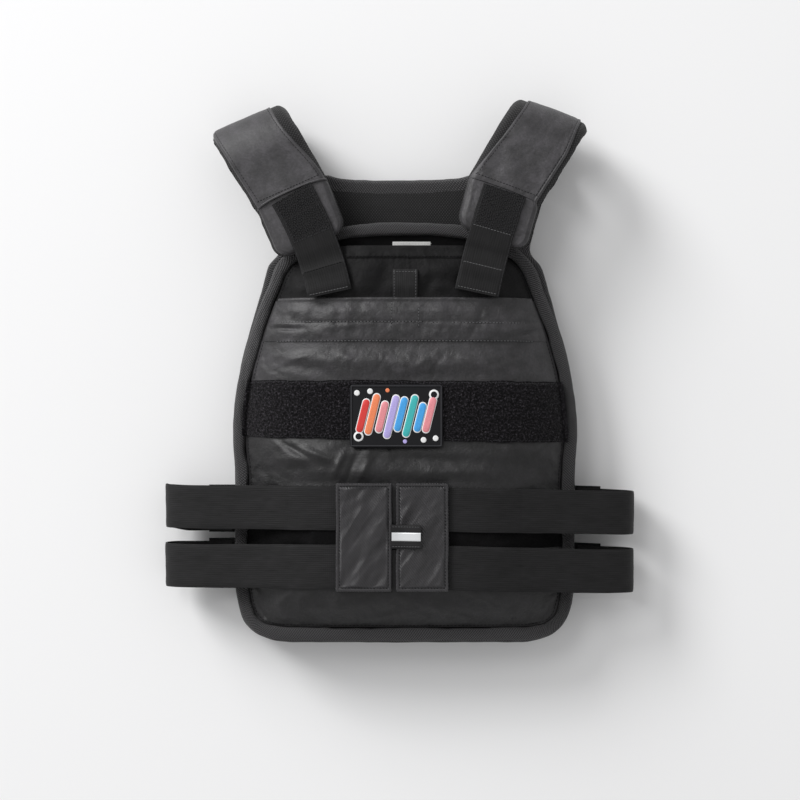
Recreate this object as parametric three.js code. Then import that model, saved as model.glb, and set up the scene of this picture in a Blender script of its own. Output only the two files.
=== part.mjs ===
// A weighted training vest lying on its back, front panel up.
// Millimetres, +Z up, +X to the right and +Y towards the shoulders.
// The floor is z = 0 and the group is centred on its own outline at the end.

import * as THREE from "three";

// Panels
const PANEL_WIDTH = 324;
const FRONT_HEIGHT = 389;
const REAR_HEIGHT = 439;
const REAR_DROP = 5;
const PAD_THICKNESS = 12;
const EDGE_BAND = 12;
const EDGE_ROLL = 5;
const REAR_RIM = 14;
const REAR_FILL = 25;
const FRONT_FILL = 22;
const TORSO_HOLLOW = 12;
const NECK_CORNER_RISE = 10;
const EAR_ROUND = 13;

// Cloth, webbing and clearances
const CLOTH = 1.6;
const GAP = 0.3;
const WEBBING = 1.8;
const ELASTIC = 1.8;

// Pocket mouth and what lies on the front face
const MOUTH_SETBACK = 22.5;
const MOUTH_DEPTH = 45;
const MOUTH_GAP = 12;
const MOUTH_WIDTH = 150;
const HEM_WIDTH = 11.5;
const HEM_LENGTH = 108;
const FLAP_SETBACK = 70.2;
const FLAP_WIDTH = 40;
const LOOP_BAND_WIDTH = 51.5;
const LOOP_BAND_SETBACK = 148.5;
const LOOP_BAND_THICKNESS = 2;
const PATCH_WIDTH = 85.5;
const PATCH_HEIGHT = 58;
const PATCH_THICKNESS = 1.8;
const PATCH_SHIFT = -8;
const TAB_WIDTH = 23;
const TAB_LENGTH = 25.5;
const TAB_THICKNESS = 2.6;
const LABEL_WIDTH = 35;
const LABEL_SHOWS = 5;
const LABEL_TUCK = 14;
const LABEL_THICKNESS = 0.6;
const LABEL_SHIFT = 6;

// Shoulder pads and their webbing
const SHOULDER_WIDTH = 74;
const SHOULDER_THICKNESS = 12;
const SHOULDER_TURN = 31;
const SHOULDER_REACH = 126;
const SHOULDER_SEAM = 80;
const SHOULDER_REAR = 62;
const EAR_SEAM = 4.4;
const INNER_MESH_STRIP = 9;
const OUTER_MESH_STRIP = 4;
const PIPING = 2.4;
const STRAP_WIDTH = 41;
const STRAP_LENGTH = 99;
const STRAP_FOLD = 26;

// Waist bands and closure
const BAND_WIDTH = 40.5;
const BAND_PITCH = 53;
const BAND_CENTRE = 98.5;
const BAND_TIP_Z = 30;
const BAND_TUCK = 40;
const SIDE_TAB_WIDTH = 45;
const SIDE_TAB_REACH = 25;
const FLAP_HEIGHT = 99.5;
const CLOSURE_WIDTH = 50.5;
const CLOSURE_SLOT = 2;
const CLOSURE_SHIFT = -12;
const CLOSURE_THICKNESS = 3;
const PULL_LENGTH = 29;
const PULL_HEIGHT = 22;
const PULL_THICKNESS = 1.6;
const STRIP_HEIGHT = 8.5;
const STRIP_THICKNESS = 0.6;

// What differs from side to side as the vest lies.
// foldOut and foldUp: middle of the shoulder fold. seamLean: tilt of the pad's cross seams.
// lean and endLean: direction of the pad above and below its cross seam, in degrees.
// tip: how far the waist bands reach out. fallUpper, fallLower: how much they drop towards the tip.
const SIDES = [
  {
    name: "left", side: -1, foldOut: 146.6, foldUp: 483.4, seamLean: 24, lean: 31, endLean: 22,
    strapLean: 31, strapEndLean: 12, tip: 226, fallUpper: 0, fallLower: 2.5,
  },
  {
    name: "right", side: 1, foldOut: 136.7, foldUp: 490.5, seamLean: 20.5, lean: 31.5, endLean: 15,
    strapLean: 19, strapEndLean: 12, tip: 216, fallUpper: 6.5, fallLower: 8.5,
  },
];

// Half outlines from the bottom middle up the side, as shares of half the width and of the height
const FRONT_OUTLINE = [
  { out: 0.5, up: 0 },
  { out: 0.74, up: 0.0015 },
  { out: 0.86, up: 0.014 },
  { out: 0.935, up: 0.045 },
  { out: 0.98, up: 0.113 },
  { out: 0.988, up: 0.21 },
  { out: 0.981, up: 0.38 },
  { out: 1.0, up: 0.47 },
  { out: 0.995, up: 0.55 },
  { out: 0.957, up: 0.648 },
  { out: 0.88, up: 0.758 },
  { out: 0.8, up: 0.843 },
  { out: 0.741, up: 0.9 },
  { out: 0.66, up: 0.936 },
  { out: 0.525, up: 0.967 },
  { out: 0.32, up: 0.994 },
];
const REAR_OUTLINE = [
  { out: 0.5, up: 0 },
  { out: 0.74, up: 0.0015 },
  { out: 0.87, up: 0.018 },
  { out: 0.95, up: 0.05 },
  { out: 0.99, up: 0.109 },
  { out: 0.993, up: 0.285 },
  { out: 1.0, up: 0.4 },
  { out: 1.0, up: 0.5 },
  { out: 0.957, up: 0.608 },
  { out: 0.895, up: 0.69 },
  { out: 0.845, up: 0.752 },
  { out: 0.8, up: 0.809 },
  { out: 0.735, up: 0.843 },
];

// Soft folds of the loaded front cover. across and up: middle of the fold, as shares of half the
// width and of the height. lean: degrees from the width. reach, spread: shares of the width. lift: mm.
const FOLDS = [
  { across: -0.1, up: 0.665, lean: -2, reach: 0.3, spread: 0.022, lift: 2.2 },
  { across: 0.4, up: 0.64, lean: 4, reach: 0.16, spread: 0.02, lift: -1.6 },
  { across: -0.6, up: 0.655, lean: -12, reach: 0.1, spread: 0.02, lift: -1.8 },
  { across: -0.62, up: 0.44, lean: 6, reach: 0.14, spread: 0.022, lift: 2.4 },
  { across: -0.22, up: 0.43, lean: 78, reach: 0.05, spread: 0.02, lift: 1.6 },
  { across: 0.2, up: 0.435, lean: -3, reach: 0.2, spread: 0.022, lift: -1.8 },
  { across: 0.7, up: 0.45, lean: -8, reach: 0.1, spread: 0.024, lift: 2.2 },
  { across: -0.45, up: 0.088, lean: 4, reach: 0.16, spread: 0.024, lift: 1.8 },
  { across: 0.35, up: 0.083, lean: -5, reach: 0.2, spread: 0.024, lift: 1.6 },
  { across: -0.45, up: 0.82, lean: 62, reach: 0.07, spread: 0.02, lift: -1.8 },
  { across: 0.48, up: 0.81, lean: -60, reach: 0.08, spread: 0.02, lift: -1.8 },
];

// Rounded end of a shoulder pad: millimetres left to its tip, and the share of its width there
const SHOULDER_END = [[13, 0.95], [8, 0.92], [4, 0.84], [1.5, 0.74], [0, 0.6]];
const STRAP_DROP = 20;

// Shape constants of the soft surfaces
const ARCH_POWER = 3.5;
const BULGE_POWER = 5;
const END_FALL = 0.35;
const OUTLINE_POINTS = 68;

const LOOKS = {
  mesh: { color: 0x1c1c1e, roughness: 0.95, metalness: 0 },
  nylon: { color: 0x2b2b2e, roughness: 0.7, metalness: 0 },
  webbing: { color: 0x1f1f21, roughness: 0.85, metalness: 0 },
  elastic: { color: 0x222224, roughness: 0.9, metalness: 0 },
  loop: { color: 0x17161a, roughness: 1, metalness: 0 },
  twill: { color: 0x36353a, roughness: 0.6, metalness: 0 },
  patch: { color: 0x1a1a20, roughness: 0.7, metalness: 0 },
  label: { color: 0xe6e6e4, roughness: 0.8, metalness: 0 },
  reflector: { color: 0xb9bbbe, roughness: 0.4, metalness: 0.1 },
};

const root = new THREE.Group();
const halfPanel = PANEL_WIDTH / 2;
const radians = THREE.MathUtils.degToRad;
const clamp01 = (t) => Math.min(1, Math.max(0, t));
const smooth = (t) => clamp01(t) ** 2 * (3 - 2 * clamp01(t));
const mix = (a, b, t) => a + (b - a) * t;

// Triangles and their vertices to a geometry whose faces point out
function closedGeometry(points, triangles) {
  let volume = 0;
  const cross = new THREE.Vector3();
  for (const [a, b, c] of triangles) {
    volume += points[a].dot(cross.crossVectors(points[b], points[c]));
  }
  const facing = volume < 0 ? triangles.map(([a, b, c]) => [a, c, b]) : triangles;
  const geometry = new THREE.BufferGeometry().setFromPoints(points);
  geometry.setIndex(facing.flat());
  geometry.computeVertexNormals();
  return geometry;
}

function addPiece(name, look, geometry) {
  const mesh = new THREE.Mesh(geometry, new THREE.MeshStandardMaterial(LOOKS[look]));
  mesh.name = name;
  root.add(mesh);
}

// Closed rings of equally many points, joined one to the next and closed by a fan at each end
function loft(rings) {
  const count = rings[0].length;
  const points = rings.flat();
  const triangles = [];
  for (let r = 0; r + 1 < rings.length; r += 1) {
    for (let i = 0; i < count; i += 1) {
      const a = r * count + i;
      const b = r * count + ((i + 1) % count);
      triangles.push([a, b, b + count], [a, b + count, a + count]);
    }
  }
  for (const [ring, first] of [[rings[0], 0], [rings.at(-1), (rings.length - 1) * count]]) {
    const middle = ring.reduce((sum, p) => sum.add(p), new THREE.Vector3()).divideScalar(count);
    const hub = points.push(middle) - 1;
    for (let i = 0; i < count; i += 1) {
      const pair = [first + i, first + ((i + 1) % count)];
      triangles.push(first === 0 ? [hub, pair[1], pair[0]] : [hub, pair[0], pair[1]]);
    }
  }
  return closedGeometry(points, triangles);
}

// A sheet on a grid of columns and rows: plan gives x and y, top and under give its two heights
function sheet(columns, rows, plan, top, under) {
  const points = [];
  for (const height of [top, under]) {
    for (const v of rows) {
      for (const u of columns) {
        const { x, y } = plan(u, v);
        points.push(new THREE.Vector3(x, y, height(x, y)));
      }
    }
  }
  const wide = columns.length;
  const layer = wide * rows.length;
  const triangles = [];
  const quad = (a, b, c, d) => triangles.push([a, b, c], [a, c, d]);
  for (let j = 0; j + 1 < rows.length; j += 1) {
    for (let i = 0; i + 1 < wide; i += 1) {
      const a = j * wide + i;
      quad(a, a + 1, a + 1 + wide, a + wide);
      quad(a + layer, a + wide + layer, a + 1 + wide + layer, a + 1 + layer);
    }
    const left = j * wide;
    const right = left + wide - 1;
    quad(left, left + wide, left + wide + layer, left + layer);
    quad(right, right + layer, right + wide + layer, right + wide);
  }
  for (let i = 0; i + 1 < wide; i += 1) {
    const far = layer - wide + i;
    quad(i, i + layer, i + 1 + layer, i + 1);
    quad(far, far + 1, far + 1 + layer, far + layer);
  }
  return closedGeometry(points, triangles);
}

const steps = (from, to, count) => Array.from({ length: count + 1 }, (_, i) => mix(from, to, i / count));

// Stations with the normal of the strap at each, which points out of the loop that it makes
function withNormals(stations) {
  return stations.map((station, i) => {
    const before = stations[Math.max(0, i - 1)].at;
    const after = stations[Math.min(stations.length - 1, i + 1)].at;
    const normal = after.clone().sub(before).cross(station.across).normalize();
    return { ...station, normal };
  });
}

// A strap swept through stations of { at, across, normal, half }, with a section of { out, lift } points
function sweep(stations, section) {
  return loft(stations.map((station) => section(station).map(({ out, lift }) =>
    station.at.clone().addScaledVector(station.across, out).addScaledVector(station.normal, lift))));
}

// Sections of a strap: a flat one with one face on the path, and a padded one with rounded edges
const flatSection = (thickness) => ({ half, layers = 1 }) => [
  { out: -half, lift: 0 },
  { out: half, lift: 0 },
  { out: half, lift: thickness * layers },
  { out: -half, lift: thickness * layers },
];
const PAD_CROWN = 0.54;
const PAD_EDGE = [
  { inset: 0, lift: 0 },
  { inset: 0.18, lift: 0.34 },
  { inset: 0.55, lift: 0.5 },
];
const paddedSection = (thickness) => ({ half }) => {
  const corner = (side, turn) => PAD_EDGE.map((p) => ({
    out: side * (half - p.inset * thickness), lift: turn * p.lift * thickness,
  }));
  return [
    ...corner(1, 1),
    { out: 0, lift: PAD_CROWN * thickness },
    ...corner(-1, 1).reverse(),
    ...corner(-1, -1).slice(1),
    ...corner(1, -1).slice(1).reverse(),
  ];
};

// Outlines of the two panels
const mirrored = (points) => [...points].reverse().map(({ x, y }) => ({ x: -x, y }));
const placeRow = ({ out, up }, width, height, base) => ({ x: (out * width) / 2, y: base + up * height });
function roundOutline(points, count) {
  const curve = new THREE.CatmullRomCurve3(
    points.map(({ x, y }) => new THREE.Vector3(x, y, 0)), true, "centripetal",
  );
  return curve.getSpacedPoints(count).slice(0, count);
}
const frontSide = FRONT_OUTLINE.map((row) => placeRow(row, PANEL_WIDTH, FRONT_HEIGHT, 0));
const frontOutline = roundOutline([...frontSide, ...mirrored(frontSide)], OUTLINE_POINTS);

// Plan of a shoulder pad: points at a distance back from its fold, and the line across it
function shoulderPlan(side) {
  const across = new THREE.Vector3(
    Math.cos(radians(side.seamLean)), -side.side * Math.sin(radians(side.seamLean)), 0,
  );
  const heading = (lean) => new THREE.Vector3(-side.side * Math.sin(radians(lean)), -Math.cos(radians(lean)), 0);
  const straight = heading(side.lean);
  const bent = heading(side.endLean);
  const start = new THREE.Vector3(side.side * side.foldOut, side.foldUp, 0)
    .addScaledVector(straight, SHOULDER_THICKNESS / 2);
  const at = (back) => {
    const turned = Math.max(0, back - SHOULDER_SEAM);
    return start.clone().addScaledVector(straight, back - turned).addScaledVector(bent, turned);
  };
  return { across, at };
}
const earLine = (side) => {
  const { across, at } = shoulderPlan(side);
  const middle = at(SHOULDER_REAR);
  return [1, -1].map((end) =>
    middle.clone().addScaledVector(across, (end * side.side * SHOULDER_WIDTH) / 2));
};

const rearBase = -REAR_DROP;
const neckline = rearBase + REAR_HEIGHT;
const rearSide = REAR_OUTLINE.map((row) => placeRow(row, PANEL_WIDTH, REAR_HEIGHT, rearBase));
function rearShoulder(side) {
  const [outer, inner] = earLine(side);
  const onEar = (share) => ({ x: mix(outer.x, inner.x, share), y: mix(outer.y, inner.y, share) });
  return [
    { x: outer.x - side.side * 0.3 * EAR_ROUND, y: outer.y - EAR_ROUND },
    onEar(EAR_ROUND / SHOULDER_WIDTH),
    onEar(0.5),
    onEar(1 - EAR_ROUND / SHOULDER_WIDTH),
    { x: inner.x - side.side * 0.3 * EAR_ROUND, y: neckline + NECK_CORNER_RISE * 0.3 },
    { x: inner.x - side.side * 1.4 * EAR_ROUND, y: neckline },
  ];
}
const rearOutline = roundOutline(
  [...rearSide, ...rearShoulder(SIDES[1]), ...rearShoulder(SIDES[0]).reverse(), ...mirrored(rearSide)],
  OUTLINE_POINTS + 8,
);

// Heights of the stacked layers, from the floor up
const arch = (x) => 1 - clamp01(Math.abs(x) / halfPanel) ** ARCH_POWER;
const rearEnds = (y) => 1 - END_FALL * clamp01(Math.abs((2 * (y - rearBase)) / REAR_HEIGHT - 1)) ** BULGE_POWER;
const rearUnder = (x, y) => REAR_RIM + (REAR_FILL - REAR_RIM) * arch(x) * rearEnds(y);
const rearTop = (x, y) => rearUnder(x, y) + PAD_THICKNESS;
const hollowArch = (x) => 1 - clamp01(Math.abs(x) / (halfPanel - EDGE_BAND)) ** ARCH_POWER;
const frontUnder = (x, y) => rearTop(x, y) + GAP + TORSO_HOLLOW * hollowArch(x);
const frontTop = (x, y) => frontUnder(x, y) + PAD_THICKNESS;

// Rings of an outline: inset by millimetres along the normals, or drawn in to the middle by a share
function insetRing(outline, inset, share, height) {
  const count = outline.length;
  const middle = new THREE.Vector3(0, FRONT_HEIGHT / 2, 0);
  return outline.map((point, i) => {
    const along = outline[(i + 1) % count].clone().sub(outline[(i + count - 1) % count]).normalize();
    const inward = new THREE.Vector3(-along.y, along.x, 0);
    const moved = point.clone().addScaledVector(inward, inset).lerp(middle, 1 - share);
    return moved.setZ(height(moved.x, moved.y));
  });
}
const rings = (outline, rows) => loft(rows.map(([inset, share, height]) =>
  insetRing(outline, inset, share, height)));
const raised = (height, by) => (x, y) => height(x, y) + by;
const INNER_RINGS = [0.3, 0.65, 0.9];
const innerRings = (height) => INNER_RINGS.map((share) => [EDGE_BAND + 1, share, height]);

// A padded panel whose mesh edge is rolled over the side that carries the cover, up or down
function rolledPad(outline, plain, carrying, roll) {
  const middle = (x, y) => (plain(x, y) + carrying(x, y) + roll) / 2;
  const sign = Math.sign(roll);
  return rings(outline, [
    ...innerRings(plain),
    [EDGE_BAND + 1, 1, plain],
    [6, 1, plain],
    [1.6, 1, raised(plain, 2.2 * sign)],
    [0, 1, middle],
    [1.6, 1, raised(carrying, roll - 2.2 * sign)],
    [5.5, 1, raised(carrying, roll)],
    [EDGE_BAND - 1, 1, raised(carrying, roll - 0.6 * sign)],
    [EDGE_BAND, 1, carrying],
    ...innerRings(carrying).reverse(),
  ]);
}

// Rear panel: mesh pad with its inner side up, and the loaded nylon cover flat on the floor
function addRearPanel() {
  addPiece("rear_pad", "mesh", rolledPad(rearOutline, rearTop, rearUnder, -EDGE_ROLL));
  const floor = () => 0;
  const seam = EDGE_BAND + GAP + 0.7;
  addPiece("rear_cover", "nylon", rings(rearOutline, [
    ...innerRings(floor),
    [seam + 8, 1, () => REAR_RIM * 0.14],
    [seam + 2, 1, () => REAR_RIM * 0.42],
    [seam, 1, raised(rearUnder, -2 * GAP - CLOTH)],
    [seam, 1, raised(rearUnder, -2 * GAP)],
    ...innerRings(raised(rearUnder, -3 * GAP)).reverse(),
  ]));
}

// Plan of the front cover: half its width at any height, and its top and bottom lines
const seamInset = EDGE_BAND + GAP + 0.5;
const coverRing = insetRing(frontOutline, seamInset, 1, () => 0);
const coverBottom = Math.min(...coverRing.map((p) => p.y));
const mouthLine = FRONT_HEIGHT - MOUTH_SETBACK;
function coverHalf(y) {
  let half = 0;
  coverRing.forEach((a, i) => {
    const b = coverRing[(i + 1) % coverRing.length];
    if ((a.y <= y && y <= b.y) || (b.y <= y && y <= a.y)) {
      const share = a.y === b.y ? 0 : (y - a.y) / (b.y - a.y);
      half = Math.max(half, mix(a.x, b.x, share));
    }
  });
  return half;
}

// Top and underside of the front cover: the load bulges it, folds lift or dent it, the mouth opens it
const bulgeAcross = (x, y) => 1 - clamp01(Math.abs(x) / Math.max(1, coverHalf(y))) ** BULGE_POWER;
const mouthShare = (MOUTH_GAP + GAP) / FRONT_FILL;
function bulgeAlong(y) {
  const fromBottom = clamp01((y - coverBottom) / (0.13 * FRONT_HEIGHT));
  const fromMouth = clamp01((mouthLine - y) / (0.28 * FRONT_HEIGHT));
  return (1 - (1 - fromBottom) ** 2.4) * mix(mouthShare, 1, 1 - (1 - fromMouth) ** 1.8);
}
function foldLift(x, y) {
  return FOLDS.reduce((sum, fold) => {
    const turn = radians(fold.lean);
    const dx = x - fold.across * halfPanel;
    const dy = y - fold.up * FRONT_HEIGHT;
    const along = (dx * Math.cos(turn) + dy * Math.sin(turn)) / (fold.reach * PANEL_WIDTH);
    const aside = (dy * Math.cos(turn) - dx * Math.sin(turn)) / (fold.spread * PANEL_WIDTH);
    return sum + fold.lift * Math.exp(-(along ** 2) - aside ** 2);
  }, 0);
}
const smoothFace = (x, y) =>
  frontTop(x, y) + GAP + CLOTH + FRONT_FILL * bulgeAcross(x, y) * bulgeAlong(y);
const faceTop = (x, y) => smoothFace(x, y) + foldLift(x, y) * bulgeAcross(x, y);
function coverUnder(x, y) {
  const across = 1 - clamp01(Math.abs(x) / (MOUTH_WIDTH / 2)) ** 2;
  const along = clamp01((y - (mouthLine - MOUTH_DEPTH)) / MOUTH_DEPTH);
  return frontTop(x, y) + GAP + MOUTH_GAP * across * along;
}

// Columns shared by the cover and the full-width bands, so that their facets run together
const FACE_COLUMNS = [-1, -0.965, -0.92, -0.85, -0.75, -0.62, -0.48, -0.34, -0.2, -0.07]
  .flatMap((u) => [u, -u])
  .sort((a, b) => a - b);
const acrossFace = (u, v) => ({ x: u * coverHalf(v), y: v });

function addFrontPanel() {
  addPiece("front_pad", "mesh", rolledPad(frontOutline, frontUnder, frontTop, EDGE_ROLL));
  const rows = [
    0, 0.008, 0.03, 0.06, 0.09, 0.125, 0.17, 0.24, 0.31, 0.37, 0.405, 0.435, 0.465, 0.5, 0.56,
    0.62, 0.655, 0.685, 0.71, 0.74, 0.775, 0.81, 0.85, 0.89, 0.925, 0.955, 0.98, 1,
  ].map((share) => mix(coverBottom + 0.5, mouthLine, share));
  addPiece("front_cover", "nylon", sheet(FACE_COLUMNS, rows, acrossFace, faceTop, coverUnder));
}

// A sheet that lies on the front face, lift above it, over a rectangle in plan
function patchOnFace(x0, x1, y0, y1, columns, rows, lift, thickness) {
  const plan = (u, v) => ({ x: u, y: v });
  return sheet(
    steps(x0, x1, columns), steps(y0, y1, rows), plan,
    raised(smoothFace, lift + thickness), raised(smoothFace, lift),
  );
}
const onFace = GAP + 0.2;
const flapTop = FRONT_HEIGHT - FLAP_SETBACK;
const loopTop = FRONT_HEIGHT - LOOP_BAND_SETBACK;
const hemLow = mouthLine - HEM_WIDTH;

function addFaceDetails() {
  addPiece("pocket_hem", "nylon", patchOnFace(
    -HEM_LENGTH / 2, HEM_LENGTH / 2, hemLow, mouthLine - 0.5, 8, 2, onFace, 1.2,
  ));
  const bandColumns = FACE_COLUMNS.filter((u) => Math.abs(u) < 0.97);
  for (const [name, look, high, wide, thick] of [
    ["pocket_flap", "nylon", flapTop, FLAP_WIDTH, 1.2],
    ["loop_band", "loop", loopTop, LOOP_BAND_WIDTH, LOOP_BAND_THICKNESS],
  ]) {
    addPiece(name, look, sheet(
      bandColumns, steps(high - wide, high, 4), acrossFace,
      raised(smoothFace, onFace + thick), raised(smoothFace, onFace),
    ));
  }
  const patchLow = loopTop - (LOOP_BAND_WIDTH + PATCH_HEIGHT) / 2 - 5;
  addPiece("patch", "patch", patchOnFace(
    PATCH_SHIFT - PATCH_WIDTH / 2, PATCH_SHIFT + PATCH_WIDTH / 2, patchLow, patchLow + PATCH_HEIGHT,
    8, 5, onFace + LOOP_BAND_THICKNESS + GAP, PATCH_THICKNESS,
  ));
  addPiece("tab_loop", "webbing", patchOnFace(
    -TAB_WIDTH / 2, TAB_WIDTH / 2, flapTop + GAP, flapTop + GAP + TAB_LENGTH, 2, 3, onFace, TAB_THICKNESS,
  ));
  const labelTop = raised(coverUnder, -GAP);
  addPiece("mouth_label", "label", sheet(
    steps(LABEL_SHIFT - LABEL_WIDTH / 2, LABEL_SHIFT + LABEL_WIDTH / 2, 4),
    steps(mouthLine - LABEL_TUCK, mouthLine + LABEL_SHOWS, 4), (u, v) => ({ x: u, y: v }),
    labelTop, raised(labelTop, -LABEL_THICKNESS),
  ));
}

// Height of whatever a shoulder pad rests on at a point of the front panel
function restingHeight(x, y) {
  const onCover = y < mouthLine && Math.abs(x) < coverHalf(y);
  return onCover ? faceTop(x, y) : frontTop(x, y) + EDGE_ROLL;
}

// Stations of a shoulder pad: from the rear panel's ear, round the fold and down to the front panel
function shoulderStations(side) {
  const { across, at } = shoulderPlan(side);
  const [outer, inner] = earLine(side);
  const half = SHOULDER_WIDTH / 2;
  const earHeight = rearUnder((outer.x + inner.x) / 2, (outer.y + inner.y) / 2) + PAD_THICKNESS / 2;
  const lowLimb = SHOULDER_THICKNESS * PAD_CROWN + CLOTH + GAP;
  const highLimb = lowLimb + 2 * SHOULDER_TURN;
  const footprint = steps(-half, half, 8).flatMap((out) =>
    steps(SHOULDER_REACH - 34, SHOULDER_REACH, 5).map((back) => at(back).addScaledVector(across, out)));
  const restTop = Math.max(...footprint.map((p) => restingHeight(p.x, p.y)));
  const endHeight = restTop + GAP + SHOULDER_THICKNESS * PAD_CROWN;
  const stations = [];
  const add = (back, z, share, front) => {
    stations.push({ at: at(back).setZ(z), across, half: half * share, back, front });
  };
  for (const t of [0, 0.5]) {
    add(mix(SHOULDER_REAR - EAR_SEAM, SHOULDER_TURN, t), mix(earHeight, lowLimb, smooth(t)), 1, false);
  }
  for (const turn of steps(-90, 90, 8)) {
    const swing = radians(turn);
    const z = lowLimb + SHOULDER_TURN * (1 + Math.sin(swing));
    add(SHOULDER_TURN * (1 - Math.cos(swing)), z, 1, turn === 90);
  }
  for (const t of steps(0, 1, 6).slice(1)) {
    const back = mix(SHOULDER_TURN, SHOULDER_REACH - 20, t);
    add(back, mix(highLimb, endHeight, smooth(t)), mix(1, 0.955, t), true);
  }
  for (const [left, share] of SHOULDER_END) add(SHOULDER_REACH - left, endHeight, share, true);
  return withNormals(stations);
}

// A point in the middle of the front limb, with its frame, at a distance back from the fold
function onFrontLimb(stations, back) {
  const limb = stations.filter((station) => station.front);
  const next = limb.findIndex((station) => station.back > back);
  const [a, b] = [limb[next - 1], limb[next]];
  const t = (back - a.back) / (b.back - a.back);
  return {
    at: a.at.clone().lerp(b.at, t),
    normal: a.normal.clone().lerp(b.normal, t).normalize(),
    along: b.at.clone().sub(a.at).normalize(),
    across: a.across,
    half: mix(a.half, b.half, t),
  };
}

// Nylon face on the outer side of a pad, narrower than the mesh body by the strips that show
const faceLift = SHOULDER_THICKNESS * PAD_CROWN + GAP;
const faceNarrow = (INNER_MESH_STRIP + OUTER_MESH_STRIP) / 2;
const faceShift = (side) => (side.side * (OUTER_MESH_STRIP - INNER_MESH_STRIP)) / -2;
const faceSection = (side) => ({ half }) => {
  const reach = half - faceNarrow;
  const middle = faceShift(side);
  return [
    { out: middle - reach, lift: faceLift },
    { out: middle + reach, lift: faceLift },
    { out: middle + reach, lift: faceLift + CLOTH },
    { out: middle - reach, lift: faceLift + CLOTH },
  ];
};

// Piping across the face where the pad's end piece is sewn on
function pipingStations(stations, side) {
  const seam = onFrontLimb(stations, SHOULDER_SEAM);
  const lift = faceLift + CLOTH + GAP + PIPING / 2;
  const reach = seam.half - faceNarrow;
  return steps(-reach, reach, 4).map((out) => ({
    at: seam.at.clone()
      .addScaledVector(seam.across, faceShift(side) + out)
      .addScaledVector(seam.normal, lift),
    across: seam.along,
    normal: seam.normal,
  }));
}
const roundSection = (diameter, sides) => () => steps(0, 2 * Math.PI, sides).slice(0, -1)
  .map((turn) => ({ out: (Math.cos(turn) * diameter) / 2, lift: (Math.sin(turn) * diameter) / 2 }));

// Webbing from the cross seam over the pad's end and down on to the front panel, its end folded double
function strapStations(stations, side) {
  const count = 22;
  const seam = onFrontLimb(stations, SHOULDER_SEAM);
  const point = seam.at.clone().setZ(0);
  const route = steps(0, STRAP_LENGTH, count).map((run, i) => {
    const lean = radians(mix(side.strapLean, side.strapEndLean, run / STRAP_LENGTH));
    const heading = new THREE.Vector3(-side.side * Math.sin(lean), -Math.cos(lean), 0);
    if (i > 0) point.addScaledVector(heading, STRAP_LENGTH / count);
    return { run, lean, at: point.clone() };
  });
  const clear = PIPING / 2 + 0.8;
  const padTop = stations.at(-1).at.z + faceLift + CLOTH + GAP;
  const leave = SHOULDER_REACH - SHOULDER_SEAM + 4;
  const onFront = (p) => Math.max(...steps(-STRAP_WIDTH / 2, STRAP_WIDTH / 2, 4)
    .map((dx) => smoothFace(p.x + dx, p.y))) + onFace + 1.2 + GAP;
  return withNormals(route.filter(({ run }) => run > clear).map(({ run, lean, at }) => {
    const high = onFrontLimb(stations, Math.min(SHOULDER_SEAM + run, SHOULDER_REACH - 21)).at.z;
    const over = Math.max(padTop, high + faceLift + CLOTH + GAP + 0.4);
    const down = smooth((run - leave) / STRAP_DROP);
    const across = new THREE.Vector3(Math.cos(lean), -side.side * Math.sin(lean), 0);
    return {
      at: at.setZ(mix(over, onFront(at), down)),
      across,
      half: STRAP_WIDTH / 2,
      layers: run > STRAP_LENGTH - STRAP_FOLD ? 2 : 1,
    };
  }));
}

function addShoulder(side) {
  const stations = shoulderStations(side);
  const name = (part) => `shoulder_${part}_${side.name}`;
  addPiece(name("pad"), "mesh", sweep(stations, paddedSection(SHOULDER_THICKNESS)));
  addPiece(name("face"), "nylon", sweep(stations.slice(1, -1), faceSection(side)));
  addPiece(name("piping"), "webbing", sweep(pipingStations(stations, side), roundSection(PIPING, 6)));
  addPiece(name("strap"), "webbing", sweep(strapStations(stations, side), flatSection(WEBBING)));
}

// Height of the highest point of the front face below the waist bands, at any place across
const waistFace = (x) => Math.max(...steps(BAND_CENTRE - FLAP_HEIGHT / 2, BAND_CENTRE + FLAP_HEIGHT / 2, 10)
  .map((y) => faceTop(x, y))) + onFace;

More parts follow.
